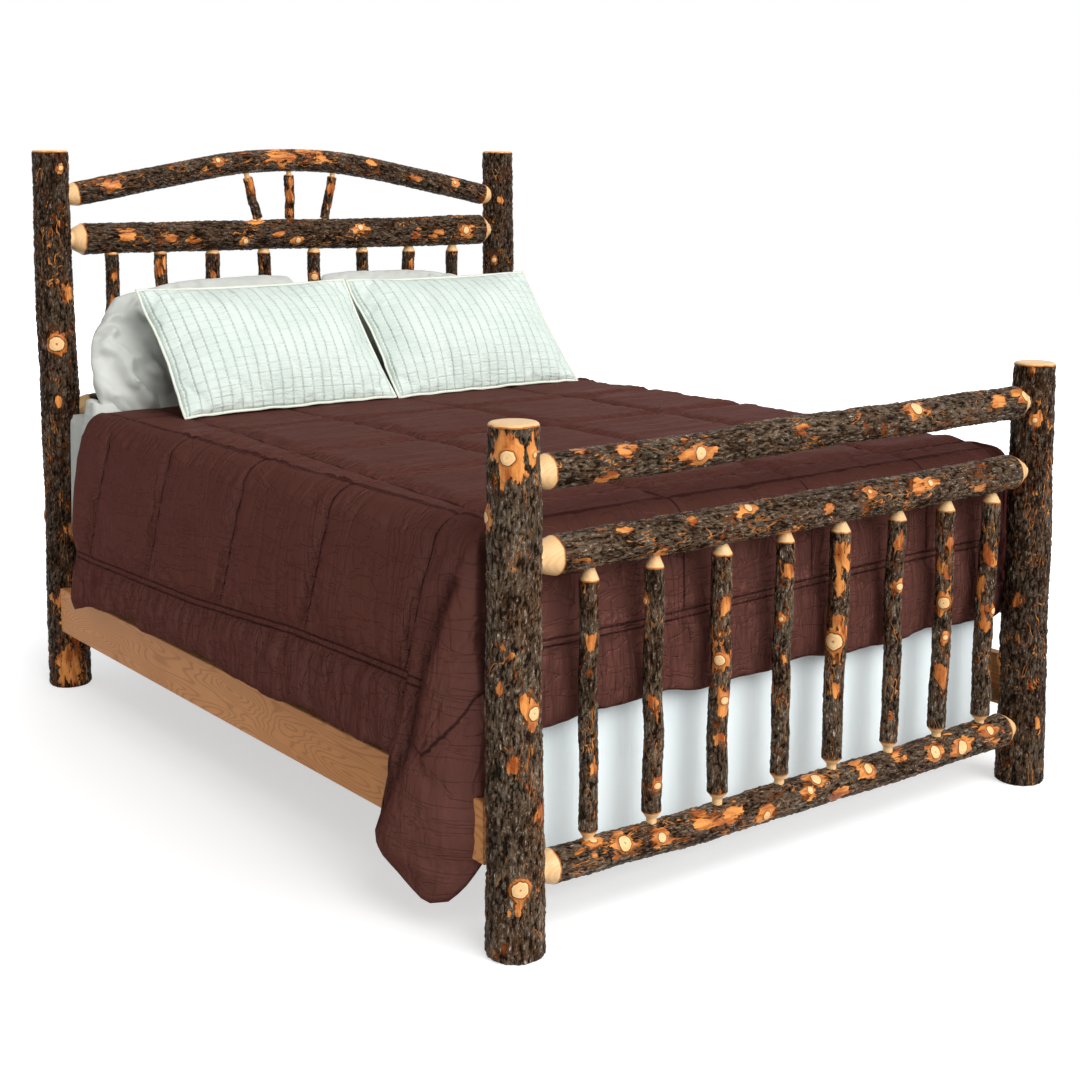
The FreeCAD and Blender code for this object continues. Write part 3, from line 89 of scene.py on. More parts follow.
# Knots and peeled patches, read off the photo. On posts and spindles the angle is counted from +X
# towards +Y, on rails from the front downwards; then metres along, knot radius, patch radius.
MARKS = {
    "foot_post_left": (
        (-138, 0.977, 0.0135, 0.029), (-120, 0.955, 0.0, 0.020), (-78, 0.980, 0.005, 0.014),
        (-81, 0.491, 0.013, 0.024), (-117, 0.152, 0.016, 0.020), (-156, 0.539, 0.0, 0.010),
        (-150, 0.62, 0.0, 0.008), (20, 0.70, 0.014, 0.024), (110, 0.35, 0.012, 0.020),
        (160, 0.86, 0.011, 0.02), (-60, 0.29, 0.0, 0.014), (-128, 0.40, 0.0, 0.012),
    ),
    "foot_post_right": (
        (-137, 0.903, 0.006, 0.013), (-157, 0.465, 0.0, 0.014), (40, 0.6, 0.013, 0.02),
        (120, 0.3, 0.012, 0.02),
        (-150, 1.018, 0.0, 0.012), (-100, 0.16, 0.0, 0.014),
    ),
    "head_post_left": (
        (-79, 1.490, 0.007, 0.012), (-113, 0.999, 0.020, 0.024), (-106, 0.060, 0.0, 0.05),
        (-127, 0.262, 0.0, 0.022), (-70, 1.14, 0.0, 0.018), (-115, 0.84, 0.0, 0.012),
        (-100, 0.47, 0.0, 0.02), (60, 0.9, 0.014, 0.024), (150, 0.5, 0.012, 0.02), (-96, 0.17, 0.0, 0.03),
    ),
    "head_post_right": (
        (-116, 1.379, 0.0, 0.012), (-140, 1.18, 0.008, 0.014), (30, 0.7, 0.013, 0.02),
        (110, 1.2, 0.012, 0.02),
    ),
    "foot_top_rail": (
        (-4, 0.428, 0.013, 0.026), (-12, 0.395, 0.0, 0.022), (-41, 1.081, 0.014, 0.024),
        (-75, 0.148, 0.0, 0.016),
        (-55, 0.252, 0.0, 0.020), (47, 0.187, 0.0, 0.016), (25, 0.205, 0.0, 0.012), (-26, 0.718, 0.0, 0.014),
        (-20, 1.36, 0.0, 0.02), (-30, 1.46, 0.012, 0.022), (170, 0.6, 0.012, 0.02), (150, 1.2, 0.012, 0.02),
    ),
    "foot_mid_rail": (
        (-55, 0.576, 0.009, 0.020), (-30, 1.125, 0.007, 0.018), (-54, 0.251, 0.0, 0.011),
        (-48, 0.418, 0.0, 0.012),
        (-28, 1.09, 0.0, 0.02), (-14, 0.8, 0.0, 0.010), (60, 0.7, 0.0, 0.02), (160, 0.4, 0.012, 0.02),
        (-35, 0.93, 0.005, 0.012), (15, 1.3, 0.0, 0.014), (55, 0.33, 0.0, 0.015),
    ),
    "foot_bottom_rail": (
        (-32, 0.236, 0.015, 0.021), (-69, 0.169, 0.008, 0.018), (-56, 0.786, 0.012, 0.020),
        (-27, 0.755, 0.008, 0.018),
        (-40, 0.943, 0.011, 0.020), (-25, 1.167, 0.014, 0.020), (-11, 1.260, 0.015, 0.022),
        (-39, 0.452, 0.0, 0.030),
        (-30, 0.53, 0.0, 0.02), (10, 0.62, 0.009, 0.018), (-50, 1.05, 0.0, 0.018), (-35, 1.37, 0.010, 0.024),
        (-20, 0.33, 0.010, 0.016), (15, 0.85, 0.0, 0.02), (150, 0.7, 0.012, 0.02),
    ),
    "head_mid_rail": (
        (9, 0.407, 0.0, 0.016), (20, 0.573, 0.008, 0.013), (0, 0.33, 0.0, 0.018), (24, 0.754, 0.009, 0.017),
        (-25, 0.975, 0.009, 0.018), (-1, 1.373, 0.011, 0.022), (-5, 0.69, 0.0, 0.013),
        (-75, 0.62, 0.009, 0.020),
        (-10, 0.2, 0.0, 0.02), (5, 1.18, 0.0, 0.014), (10, 1.26, 0.0, 0.016),
    ),
    "head_lower_rail": ((-20, 0.5, 0.010, 0.018), (160, 0.9, 0.012, 0.02), (10, 1.1, 0.0, 0.02)),
    "head_arch_rail": (
        (-55, 0.12, 0.0, 0.016), (-25, 0.155, 0.0, 0.020), (-30, 0.50, 0.007, 0.012), (-50, 0.70, 0.0, 0.034),
        (-20, 0.74, 0.0, 0.022), (-55, 0.80, 0.0, 0.030), (-10, 0.84, 0.0, 0.018), (30, 0.71, 0.0, 0.014),
        (-35, 1.03, 0.0, 0.014), (0, 1.20, 0.0, 0.012), (-20, 1.35, 0.006, 0.014), (170, 0.8, 0.01, 0.02),
    ),
    "foot_spindle_1": ((-120, 0.43, 0.0, 0.012), (-90, 0.17, 0.0, 0.012)),
    "foot_spindle_2": ((172, 0.480, 0.007, 0.012), (-119, 0.273, 0.0, 0.012), (-100, 0.10, 0.007, 0.012)),
    "foot_spindle_3": ((-143, 0.329, 0.011, 0.019), (-102, 0.242, 0.008, 0.018), (-156, 0.374, 0.0, 0.016),
                       (-110, 0.44, 0.0, 0.018), (-130, 0.16, 0.0, 0.012)),
    "foot_spindle_4": ((-150, 0.387, 0.005, 0.009), (-110, 0.30, 0.0, 0.01), (-120, 0.49, 0.0, 0.014)),
    "foot_spindle_5": ((-128, 0.431, 0.0, 0.018), (-150, 0.309, 0.018, 0.026), (-95, 0.33, 0.0, 0.018),
                       (-110, 0.49, 0.0, 0.022), (-120, 0.2, 0.0, 0.012)),
    "foot_spindle_6": ((-100, 0.404, 0.008, 0.012), (-130, 0.50, 0.0, 0.014), (-136, 0.10, 0.0, 0.010)),
    "foot_spindle_7": ((-139, 0.341, 0.013, 0.019), (-155, 0.425, 0.0, 0.020), (-134, 0.174, 0.0, 0.018),
                       (-110, 0.48, 0.0, 0.016), (-120, 0.26, 0.006, 0.012)),
    "foot_spindle_8": ((170, 0.361, 0.0, 0.020), (-79, 0.297, 0.008, 0.014), (-120, 0.42, 0.0, 0.020),
                       (-140, 0.27, 0.0, 0.018)),
    "head_spindle_1": ((-100, 0.36, 0.0, 0.012), (-130, 0.28, 0.0, 0.012)),
    "head_spindle_2": ((-122, 0.375, 0.0, 0.018), (-160, 0.32, 0.0, 0.010)),
    "head_spindle_3": ((-110, 0.35, 0.0, 0.012),),
    "head_spindle_5": ((-117, 0.334, 0.010, 0.014),),
    "head_spindle_7": ((-100, 0.36, 0.0, 0.012),),
    "head_fan_left": ((-110, 0.12, 0.0, 0.018), (-140, 0.16, 0.0, 0.012)),
    "head_fan_centre": ((-120, 0.10, 0.0, 0.014), (-130, 0.05, 0.0, 0.012), (-100, 0.14, 0.0, 0.01)),
    "head_fan_right": ((-110, 0.12, 0.0, 0.016), (-90, 0.06, 0.0, 0.010)),
}

# Logs whose bark gets painted shade, darker than the rest: 0 not at all, 1 most
PAINTED_SHADES = {
    "head_post_left": 0.60, "head_post_right": 0.60, "foot_post_right": 0.50, "head_mid_rail": 0.45,
    "head_arch_rail": 0.35, "head_fan_left": 0.4, "head_fan_centre": 0.4, "head_fan_right": 0.4,
    **{f"head_spindle_{number}": 0.55 for number in range(1, 9)},
}

# Comforter
COMFORTER_TOP = 0.8185
COMFORTER_LOFT = 0.015
SIDE_LOFT = 0.011
FLAP_LOFT = 0.023
COMFORTER_EDGE_RADIUS = 0.062
COMFORTER_HEAD_Y = 0.852
COMFORTER_STEP = 0.0105
COMFORTER_DROP_ROWS = 42
POLE_X = 0.737
POLE_Y = -0.984
CROSS_SEAMS = (0.661, 0.297, -0.099, -0.489, -0.890)
LENGTH_SEAMS = (-0.300, 0.075, 0.455)
SHOULDER_SEAM_Y = (-0.90, -0.43, 0.45, 0.86)
SHOULDER_SEAM_X = (-0.700, -0.672, -0.608, -0.580)
FOOT_SEAM_HEIGHT = 0.600
RIGHT_HEM = 0.392
FOOT_HEM = 0.420
LEFT_HEM_PLACES = (-0.846, -0.660, 0.250, 0.500, 0.852)
LEFT_HEM = (0.338, 0.322, 0.326, 0.334, 0.290)
# The flap at the left foot corner: for each strip, by where it starts, how far its end stands out
# and leans to the head, and how high it ends
FLAP_STARTS = (-1.069, -1.050, -1.030, -1.010, -0.995, -0.984, -0.960, -0.935, -0.905, -0.885, -0.870,
               -0.858, -0.846)
RIGHT_CORNER_HEMS = (0.400, 0.404, 0.408, 0.410, 0.411, 0.411, 0.411)
FLAP_OUT = (0.0, 0.0, 0.0, -0.010, -0.018, -0.012, 0.006, 0.020, 0.034, 0.038, 0.036, 0.028, 0.004)
FLAP_LEAN = (0.0, 0.0, 0.0, 0.0, 0.010, 0.022, 0.044, 0.070, 0.096, 0.102, 0.090, 0.040, 0.0)
FLAP_ENDS = (0.408, 0.335, 0.236, 0.158, 0.108, 0.076, 0.061, 0.092, 0.126, 0.152, 0.194, 0.258, 0.338)
# The roll above the flap: its near edge by height, and the fold across it, along the direction ACROSS
ACROSS = (0.7915, -0.6112)
ROLL_HEIGHTS = (0.06, 0.20, 0.386, 0.483, 0.646, 0.709, 0.777)
ROLL_EDGE = (-0.300, -0.220, -0.1435, -0.127, -0.0805, -0.0543, -0.0238)
FOLD_LINE = ((-0.1428, 0.383), (-0.1153, 0.362), (-0.0847, 0.402), (-0.0475, 0.448), (-0.0151, 0.507))
# How far the hanging cloth stands out from the inset corner, by height, at each turn round the corner
REACH_HEIGHTS = (0.7545, 0.70, 0.60, 0.45, 0.33, 0.06)
SIDE_REACH = (0.062, 0.076, 0.089, 0.099, 0.109, 0.110)
CORNER_TURNS = (0, 15, 30, 45, 60, 75, 90)
CORNER_REACH = (
    (0.062, 0.063, 0.053, 0.044, 0.040, 0.039, 0.041), (0.073, 0.071, 0.055, 0.046, 0.042, 0.041, 0.043),
    (0.086, 0.079, 0.058, 0.048, 0.044, 0.043, 0.046), (0.096, 0.087, 0.063, 0.051, 0.047, 0.046, 0.050),
    (0.106, 0.090, 0.066, 0.052, 0.048, 0.047, 0.051), (0.108, 0.094, 0.068, 0.052, 0.048, 0.047, 0.051),
)

# Comforter: strips round each foot corner, how far its foot hangs out, and how its cross seams wave
CORNER_STRIPS = 14
FOOT_REACH = 0.062
SEAM_WAVE = 0.02
SEAM_WAVE_RATE = 2.2
# Comforter: the height of its level seam along the sides
SIDE_SEAM_Y = (-0.77, -0.36, 0.13, 0.73)
SIDE_SEAM_HEIGHT = (0.505, 0.495, 0.462, 0.448)
# Comforter: how far to the foot it may come at each height, clear of the foot's rails and spindles
LIMIT_HEIGHTS = (0.55, 0.70, 0.84, 0.90)
LIMIT_Y = (-1.060, -1.0475, -1.0475, -1.055)
# Sheet: width over the mattress, drops at both sides, length, and height of its top
MATTRESS_WIDTH = 1.524
SHEET_RIGHT_DROP = 0.325
SHEET_TOP = 0.7977
SHEET_SIDE_X = 0.766
SHEET_WIDEST_X = 0.784
# Skirt: where its deck ends, where its drop hangs, height of its deck, and its gap to the solid's top
SKIRT_EDGE_Y = -1.008
SKIRT_DROP_Y = -1.0105
SKIRT_DECK_HEIGHT = 0.4575
SKIRT_GAP = 0.004
# Cushions: width, height and depth, and tilt from lying to standing
PILLOW_SIZE = (0.705, 0.408, 0.165)
PILLOW_TILT = 66.0
SHAM_SIZE = (0.664, 0.434, 0.160)
SHAM_TILT = 48.7
SHAM_STITCH_PITCH = 0.032
SHAM_CROSS_PITCH = 0.026


# Noise and meshes


def hashed(cells, seed):
    """A number from 0 to 1 for each whole-number cell, the same on every run."""
    mixed = (cells[..., 0] * 73856093) ^ (cells[..., 1] * 19349663) ^ (cells[..., 2] * 83492791)
    mixed = (mixed ^ (seed * 265443576)) & 0x7FFFFFFF
    mixed = ((mixed ^ (mixed >> 13)) * 1274126177) & 0x7FFFFFFF
    return ((mixed ^ (mixed >> 15)) & 0xFFFF) / 0xFFFF


def smooth_noise(points, seed):
    """Soft noise from -1 to 1 with a grain of one unit."""
    cell = np.floor(points).astype(np.int64)
    inside = points - cell
    fade = inside * inside * (3 - 2 * inside)
    total = np.zeros(points.shape[:-1])
    for corner in itertools.product((0, 1), repeat=3):
        share = np.prod(np.where(corner, fade, 1 - fade), axis=-1)
        total += share * hashed(cell + np.array(corner), seed)
    return total * 2 - 1


def layered_noise(points, seed, layers=3):
    """Smooth noise with finer and weaker layers on it."""
    total = np.zeros(points.shape[:-1])
    for layer in range(layers):
        total += smooth_noise(points * 2 ** layer, seed + layer) / 2 ** layer
    return total


def cell_edges(points, seed):
    """How far each point is from the border of its scattered cell: 0 on the border."""
    cell = np.floor(points).astype(np.int64)
    nearest = np.full(points.shape[:-1], FAR)
    second = np.full(points.shape[:-1], FAR)
    for step in itertools.product((-1, 0, 1), repeat=3):
        other = cell + np.array(step)
        middle = np.stack([hashed(other, seed + axis) for axis in range(3)], axis=-1) + other
        away = np.linalg.norm(points - middle, axis=-1)
        second = np.minimum(second, np.maximum(nearest, away))
        nearest = np.minimum(nearest, away)
    return second - nearest


def ease(values, low, high):
    """0 below low, 1 above high, smooth between."""
    share = np.clip((values - low) / (high - low), 0, 1)
    return share * share * (3 - 2 * share)


def grid_quads(rows, cols, wrap=False):
    number = np.arange(rows * cols).reshape(rows, cols)
    left = number if wrap else number[:, :-1]
    right = np.roll(number, -1, axis=1) if wrap else number[:, 1:]
    return np.stack([left[:-1], right[:-1], right[1:], left[1:]], axis=-1).reshape(-1, 4)


def mesh_piece(name, points, faces, material, body=BED):
    """A smooth-shaded piece of the bed that rides on a body."""
    mesh = bpy.data.meshes.new(name)
    mesh.from_pydata(np.asarray(points).reshape(-1, 3).tolist(), [], [list(face) for face in faces])
    mesh.polygons.foreach_set("use_smooth", [True] * len(mesh.polygons))
    mesh.update()
    piece = bpy.data.objects.new(name, mesh)
    bpy.context.scene.collection.objects.link(piece)
    mesh.materials.append(material)
    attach(piece, body)
    return piece


def keep_field(piece, name, values):
    """Store one number or vector for each vertex, for the material to read."""
    values = np.asarray(values, float)
    kind = "FLOAT_VECTOR" if values.ndim > 1 else "FLOAT"
    field = piece.data.attributes.new(name, kind, "POINT")
    field.data.foreach_set("vector" if values.ndim > 1 else "value", values.ravel())


def vertices_of(piece):
    flat = np.zeros(len(piece.data.vertices) * 3)
    piece.data.vertices.foreach_get("co", flat)
    return flat.reshape(-1, 3)


# Material nodes


def node(tree, kind, sockets=None, **settings):
    made = tree.nodes.new(kind)
    for key, setting in settings.items():
        setattr(made, key, setting)
    for key, given in (sockets or {}).items():
        if isinstance(given, bpy.types.NodeSocket):
            tree.links.new(given, made.inputs[key])
        else:
            made.inputs[key].default_value = given
    return made


def maths(tree, operation, first, second=0.0):
    return node(tree, "ShaderNodeMath", {0: first, 1: second}, operation=operation).outputs[0]


def times(tree, first, second):
    return maths(tree, "MULTIPLY", first, second)


def plus(tree, first, second):
    return maths(tree, "ADD", first, second)


def minus(tree, first, second):
    return maths(tree, "SUBTRACT", first, second)


def apart(tree, given, middle):
    """How far the value is from the middle, either way."""
    return maths(tree, "ABSOLUTE", minus(tree, given, middle))


def off_row(tree, given, pitch):
    """How far the value is from the nearest of evenly spaced rows, as a share of their pitch."""
    row = maths(tree, "FRACT", plus(tree, maths(tree, "DIVIDE", given, pitch), 40.5))
    return apart(tree, row, 0.5)


def band(tree, given, low, high, start=0.0, end=1.0):
    """The value as it goes from low to high, eased into start to end."""
    made = node(tree, "ShaderNodeMapRange", {"Value": given, "From Min": low, "From Max": high,
                                             "To Min": start, "To Max": end}, interpolation_type="SMOOTHSTEP")
    return made.outputs[0]


def mix(tree, factor, first, second, blend="MIX"):
    made = node(tree, "ShaderNodeMix", data_type="RGBA", blend_type=blend)
    for index, given in ((0, factor), (6, first), (7, second)):
        if isinstance(given, bpy.types.NodeSocket):
            tree.links.new(given, made.inputs[index])
        elif index == 0:
            made.inputs[index].default_value = given
        else:
            made.inputs[index].default_value = (*given, 1.0)
    return made.outputs[2]


def field(tree, name, output="Fac"):
    return node(tree, "ShaderNodeAttribute", attribute_name=name).outputs[output]


def stretched(tree, vector, scale, turn=(0, 0, 0)):
    return node(tree, "ShaderNodeMapping", {"Vector": vector, "Scale": scale, "Rotation": turn}).outputs[0]


def noise(tree, vector, scale, detail=3.0, rough=0.55, warp=0.0):
    return node(tree, "ShaderNodeTexNoise", {"Vector": vector, "Scale": scale, "Detail": detail,
                                             "Roughness": rough, "Distortion": warp}).outputs[0]


def new_material(name, **shader):
    """A node material and its shader, with the given sockets set."""
    material = bpy.data.materials.new(name)
    material.use_nodes = True
    tree = material.node_tree
    surface = tree.nodes["Principled BSDF"]
    for key, given in shader.items():
        surface.inputs[key.replace("_", " ")].default_value = given
    return material, tree, surface


def bump(tree, height, depth, strength=1.0, below=None):
    sockets = {"Height": height, "Distance": depth, "Strength": strength}
    if below is not None:
        sockets["Normal"] = below
    return node(tree, "ShaderNodeBump", sockets).outputs[0]


def bark_material():
    """Varnished hickory bark, with peeled flecks, knots and pale shaved wood at the cut ends. Its glints and
    ridge rims are painted highlights, its deepest furrows and the head end's logs painted shade.
    """
    material, tree, surface = new_material("bark_log_finish")
    grain = field(tree, "grain", "Vector")
    bare = field(tree, "bare")
    knot = field(tree, "knot")
    peel = field(tree, "peel")
    ridge = field(tree, "ridge")
    along = stretched(tree, grain, (1.0, 1.0, 0.34))
    fibres = stretched(tree, grain, (1.0, 1.0, 0.16))
    fine = noise(tree, fibres, 300.0, 3.0, 0.7, 0.4)
    crumbs = noise(tree, along, 190.0, 4.0, 0.7, 0.6)
    mottle = noise(tree, along, 38.0, 4.0, 0.6)
    broad = noise(tree, grain, 10.0, 2.0)
    raised = plus(tree, ridge, times(tree, minus(tree, crumbs, 0.5), 1.5))
    bark = mix(tree, band(tree, mottle, 0.34, 0.68), (0.078, 0.046, 0.028), (0.190, 0.126, 0.080))
    bark = mix(tree, band(tree, broad, 0.52, 0.68, 0.0, 0.5), bark, (0.150, 0.120, 0.082))
    bark = mix(tree, band(tree, broad, 0.46, 0.32, 0.0, 0.5), bark, (0.120, 0.050, 0.020))
    bark = mix(tree, band(tree, fine, 0.56, 0.40, 0.0, 0.6), bark, (0.28, 0.23, 0.19), "MULTIPLY")
    # painted shade: the deepest furrows are darkened nearly to black
    bark = mix(tree, band(tree, raised, 0.26, 0.00), bark, (0.012, 0.007, 0.004))
    # painted highlights: thin pale lines along the edges of the ridges
    near_rim = apart(tree, raised, 0.58)
    painted_rims = times(tree, band(tree, near_rim, 0.10, 0.02), band(tree, crumbs, 0.46, 0.60))
    bark = mix(tree, times(tree, painted_rims, 0.75), bark, (0.46, 0.37, 0.26))
    # painted highlights: bright specks on the high ridges stand in for the varnish's glints
    painted_glints = times(tree, band(tree, raised, 0.62, 0.90), band(tree, fine, 0.55, 0.62))
    bark = mix(tree, painted_glints, bark, (0.72, 0.63, 0.48))
    patchy = maths(tree, "MAXIMUM", band(tree, peel, 0.02, 0.16),
                   band(tree, noise(tree, grain, 8.0), 0.55, 0.64))
    rust = times(tree, band(tree, raised, 0.45, 0.10), band(tree, noise(tree, grain, 34.0, 4.0), 0.49, 0.58))
    rust = times(tree, rust, patchy)
    bark = mix(tree, times(tree, rust, 0.85), bark, (0.34, 0.080, 0.013))
    # painted shade: the head end's logs and the right foot post are darkened in the colour
    bark = mix(tree, field(tree, "painted_shade"), bark, (0.30, 0.22, 0.18), "MULTIPLY")
    flecks = noise(tree, along, 52.0, 5.0, 0.65, 1.0)
    reach = plus(tree, flecks, peel)
    patch = band(tree, reach, 0.685, 0.70)
    contour = apart(tree, noise(tree, along, 24.0, 3.0, 0.55, 0.8), 0.5)
    line = times(tree, band(tree, contour, 0.014, 0.005), band(tree, noise(tree, grain, 13.0), 0.49, 0.56))
    line = times(tree, line, band(tree, raised, 0.75, 0.35))
    glow = plus(tree, times(tree, noise(tree, fibres, 160.0, 3.0), 0.5), noise(tree, along, 45.0, 3.0))
    orange = mix(tree, band(tree, glow, 0.55, 0.95), (0.30, 0.062, 0.010), (0.80, 0.315, 0.078))
    skin = mix(tree, line, bark, orange)
    skin = mix(tree, band(tree, reach, 0.655, 0.685), skin, (0.11, 0.030, 0.008))
    skin = mix(tree, patch, skin, orange)
    rings = node(tree, "ShaderNodeTexWave", {"Vector": stretched(tree, grain, (1, 1, 0)), "Scale": 62.0,
                                             "Distortion": 1.6, "Detail": 2.0, "Detail Scale": 1.5},
                 wave_type="RINGS", rings_direction="Z").outputs[0]
    heart = node(tree, "ShaderNodeTexVoronoi",
                 {"Vector": stretched(tree, grain, (1, 1, 0)), "Scale": 22.0}).outputs[0]
    pale = mix(tree, times(tree, rings, 0.40), (0.88, 0.57, 0.28), (0.74, 0.40, 0.16))
    pale = mix(tree, band(tree, noise(tree, fibres, 60.0, 3.0), 0.55, 0.75, 0.0, 0.5), pale,
               (0.88, 0.66, 0.40))
    pale = mix(tree, band(tree, heart, 0.10, 0.0, 0.0, 0.35), pale, (0.50, 0.27, 0.11))
    worn = plus(tree, knot, times(tree, minus(tree, noise(tree, grain, 90.0, 3.0), 0.5), 0.5))
    knot_rings = maths(tree, "SINE", times(tree, worn, 12.0))
    disc = mix(tree, band(tree, knot_rings, -0.2, 0.9, 0.0, 0.35), (0.90, 0.60, 0.30), (0.80, 0.42, 0.16))
    disc = mix(tree, band(tree, noise(tree, fibres, 40.0, 3.0), 0.45, 0.65, 0.0, 0.6), disc,
               (0.86, 0.47, 0.18))
    disc = mix(tree, band(tree, worn, 0.20, 0.04), disc, (0.17, 0.06, 0.02))
    skin = mix(tree, band(tree, worn, 1.50, 1.30), skin, (0.55, 0.17, 0.03))
    skin = mix(tree, band(tree, worn, 1.20, 1.08), skin, (0.14, 0.04, 0.012))
    skin = mix(tree, band(tree, worn, 1.02, 0.95), skin, disc)
    ragged = plus(tree, bare, times(tree, minus(tree, noise(tree, grain, 60.0), 0.5), 0.007))
    skin = mix(tree, band(tree, ragged, -0.0016, -0.0006), skin, (0.52, 0.17, 0.035))
    colour = mix(tree, band(tree, ragged, 0.0014, 0.0026), skin, pale)
    smooth_part = maths(tree, "MAXIMUM", maths(tree, "MAXIMUM", patch, band(tree, ragged, -0.001, 0.0)),
                        band(tree, worn, 1.1, 1.0))
    rough_part = minus(tree, 1.0, smooth_part)
    height = plus(tree, raised, times(tree, fine, 0.6))
    relief = plus(tree, times(tree, height, rough_part), times(tree, smooth_part, 0.55))
    normal = bump(tree, relief, 0.0050)
    normal = bump(tree, knot_rings, 0.0003, 0.5, normal)
    tree.links.new(colour, surface.inputs["Base Color"])
    tree.links.new(band(tree, smooth_part, 0.0, 1.0, 0.27, 0.34), surface.inputs["Roughness"])
    shine = maths(tree, "MAXIMUM", band(tree, raised, 0.40, 0.90, 0.02, 0.34), times(tree, smooth_part, 0.14))
    tree.links.new(shine, surface.inputs["Specular IOR Level"])
    tree.links.new(normal, surface.inputs["Normal"])
    return material


BARK = bark_material()


# Logs


def turned_profile(name, along=None):
    """Axis ends of a CAD log, and its barked body: where it starts and ends and its radius there."""
    points = vertices_of(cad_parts[name])
    if along is None:
        first = points.mean(axis=0)
        axis = np.linalg.svd(points - first, full_matrices=False)[2][0]
        axis = axis * (1 if axis[2] > 0 else -1)
    else:
        ends = [points[np.abs(points[:, along] - edge) < 0.0006] for edge in
                (points[:, along].min(), points[:, along].max())]
        first, last = [(end.min(axis=0) + end.max(axis=0)) / 2 for end in ends]
        axis = (last - first) / np.linalg.norm(last - first)
    distance = (points - first) @ axis
    radius = np.linalg.norm(points - first - distance[:, None] * axis, axis=1)
    start, end = distance.min(), distance.max()
    outline = []
    for place, size in sorted(zip(distance - start, radius)):
        while len(outline) > 1 and ((outline[-1][1] - outline[-2][1]) * (place - outline[-2][0])
                                    <= (size - outline[-2][1]) * (outline[-1][0] - outline[-2][0])):
            outline.pop()
        outline.append((place, size))
    steep = [abs(b[1] - a[1]) > 0.06 * (b[0] - a[0]) for a, b in zip(outline[:-1], outline[1:])]
    level = [index for index, slope in enumerate(steep)
             if not slope and outline[index + 1][0] - outline[index][0] > 0.02]
    body = outline[level[0]], outline[level[-1] + 1]
    return first + axis * start, first + axis * end, body


def rows_along(rings, step):
    """Distances and radii of a log's rows of vertices, with its cut ends closed in."""
    places = [rings[0][0]] * 3
    sizes = [0.0004, rings[0][1] * 0.45, rings[0][1] * 0.85]
    for (start, first), (end, last) in zip(rings[:-1], rings[1:]):
        count = max(1, round((end - start) / step))
        share = np.linspace(0, 1, count, endpoint=False)
        places += list(start + (end - start) * share)
        sizes += list(first + (last - first) * share)
    places += [rings[-1][0]] * 4
    sizes += [rings[-1][1], rings[-1][1] * 0.85, rings[-1][1] * 0.45, 0.0004]
    return np.array(places), np.array(sizes)


def wander(share, reach, seed):
    """Sideways offsets of a crooked log, nothing at both ends."""
    random = np.random.default_rng(seed)
    hold = np.clip(np.sin(np.pi * share), 0, 1) ** 0.7
    out = []
    for _ in range(2):
        phase = random.uniform(0, 2 * np.pi, 3)
        wave = (np.sin(2.2 * np.pi * share + phase[0]) + 0.6 * np.sin(4.7 * np.pi * share + phase[1])
                + 0.3 * np.sin(9 * np.pi * share + phase[2]))
        out.append(wave * hold * reach * 0.6)
    return out


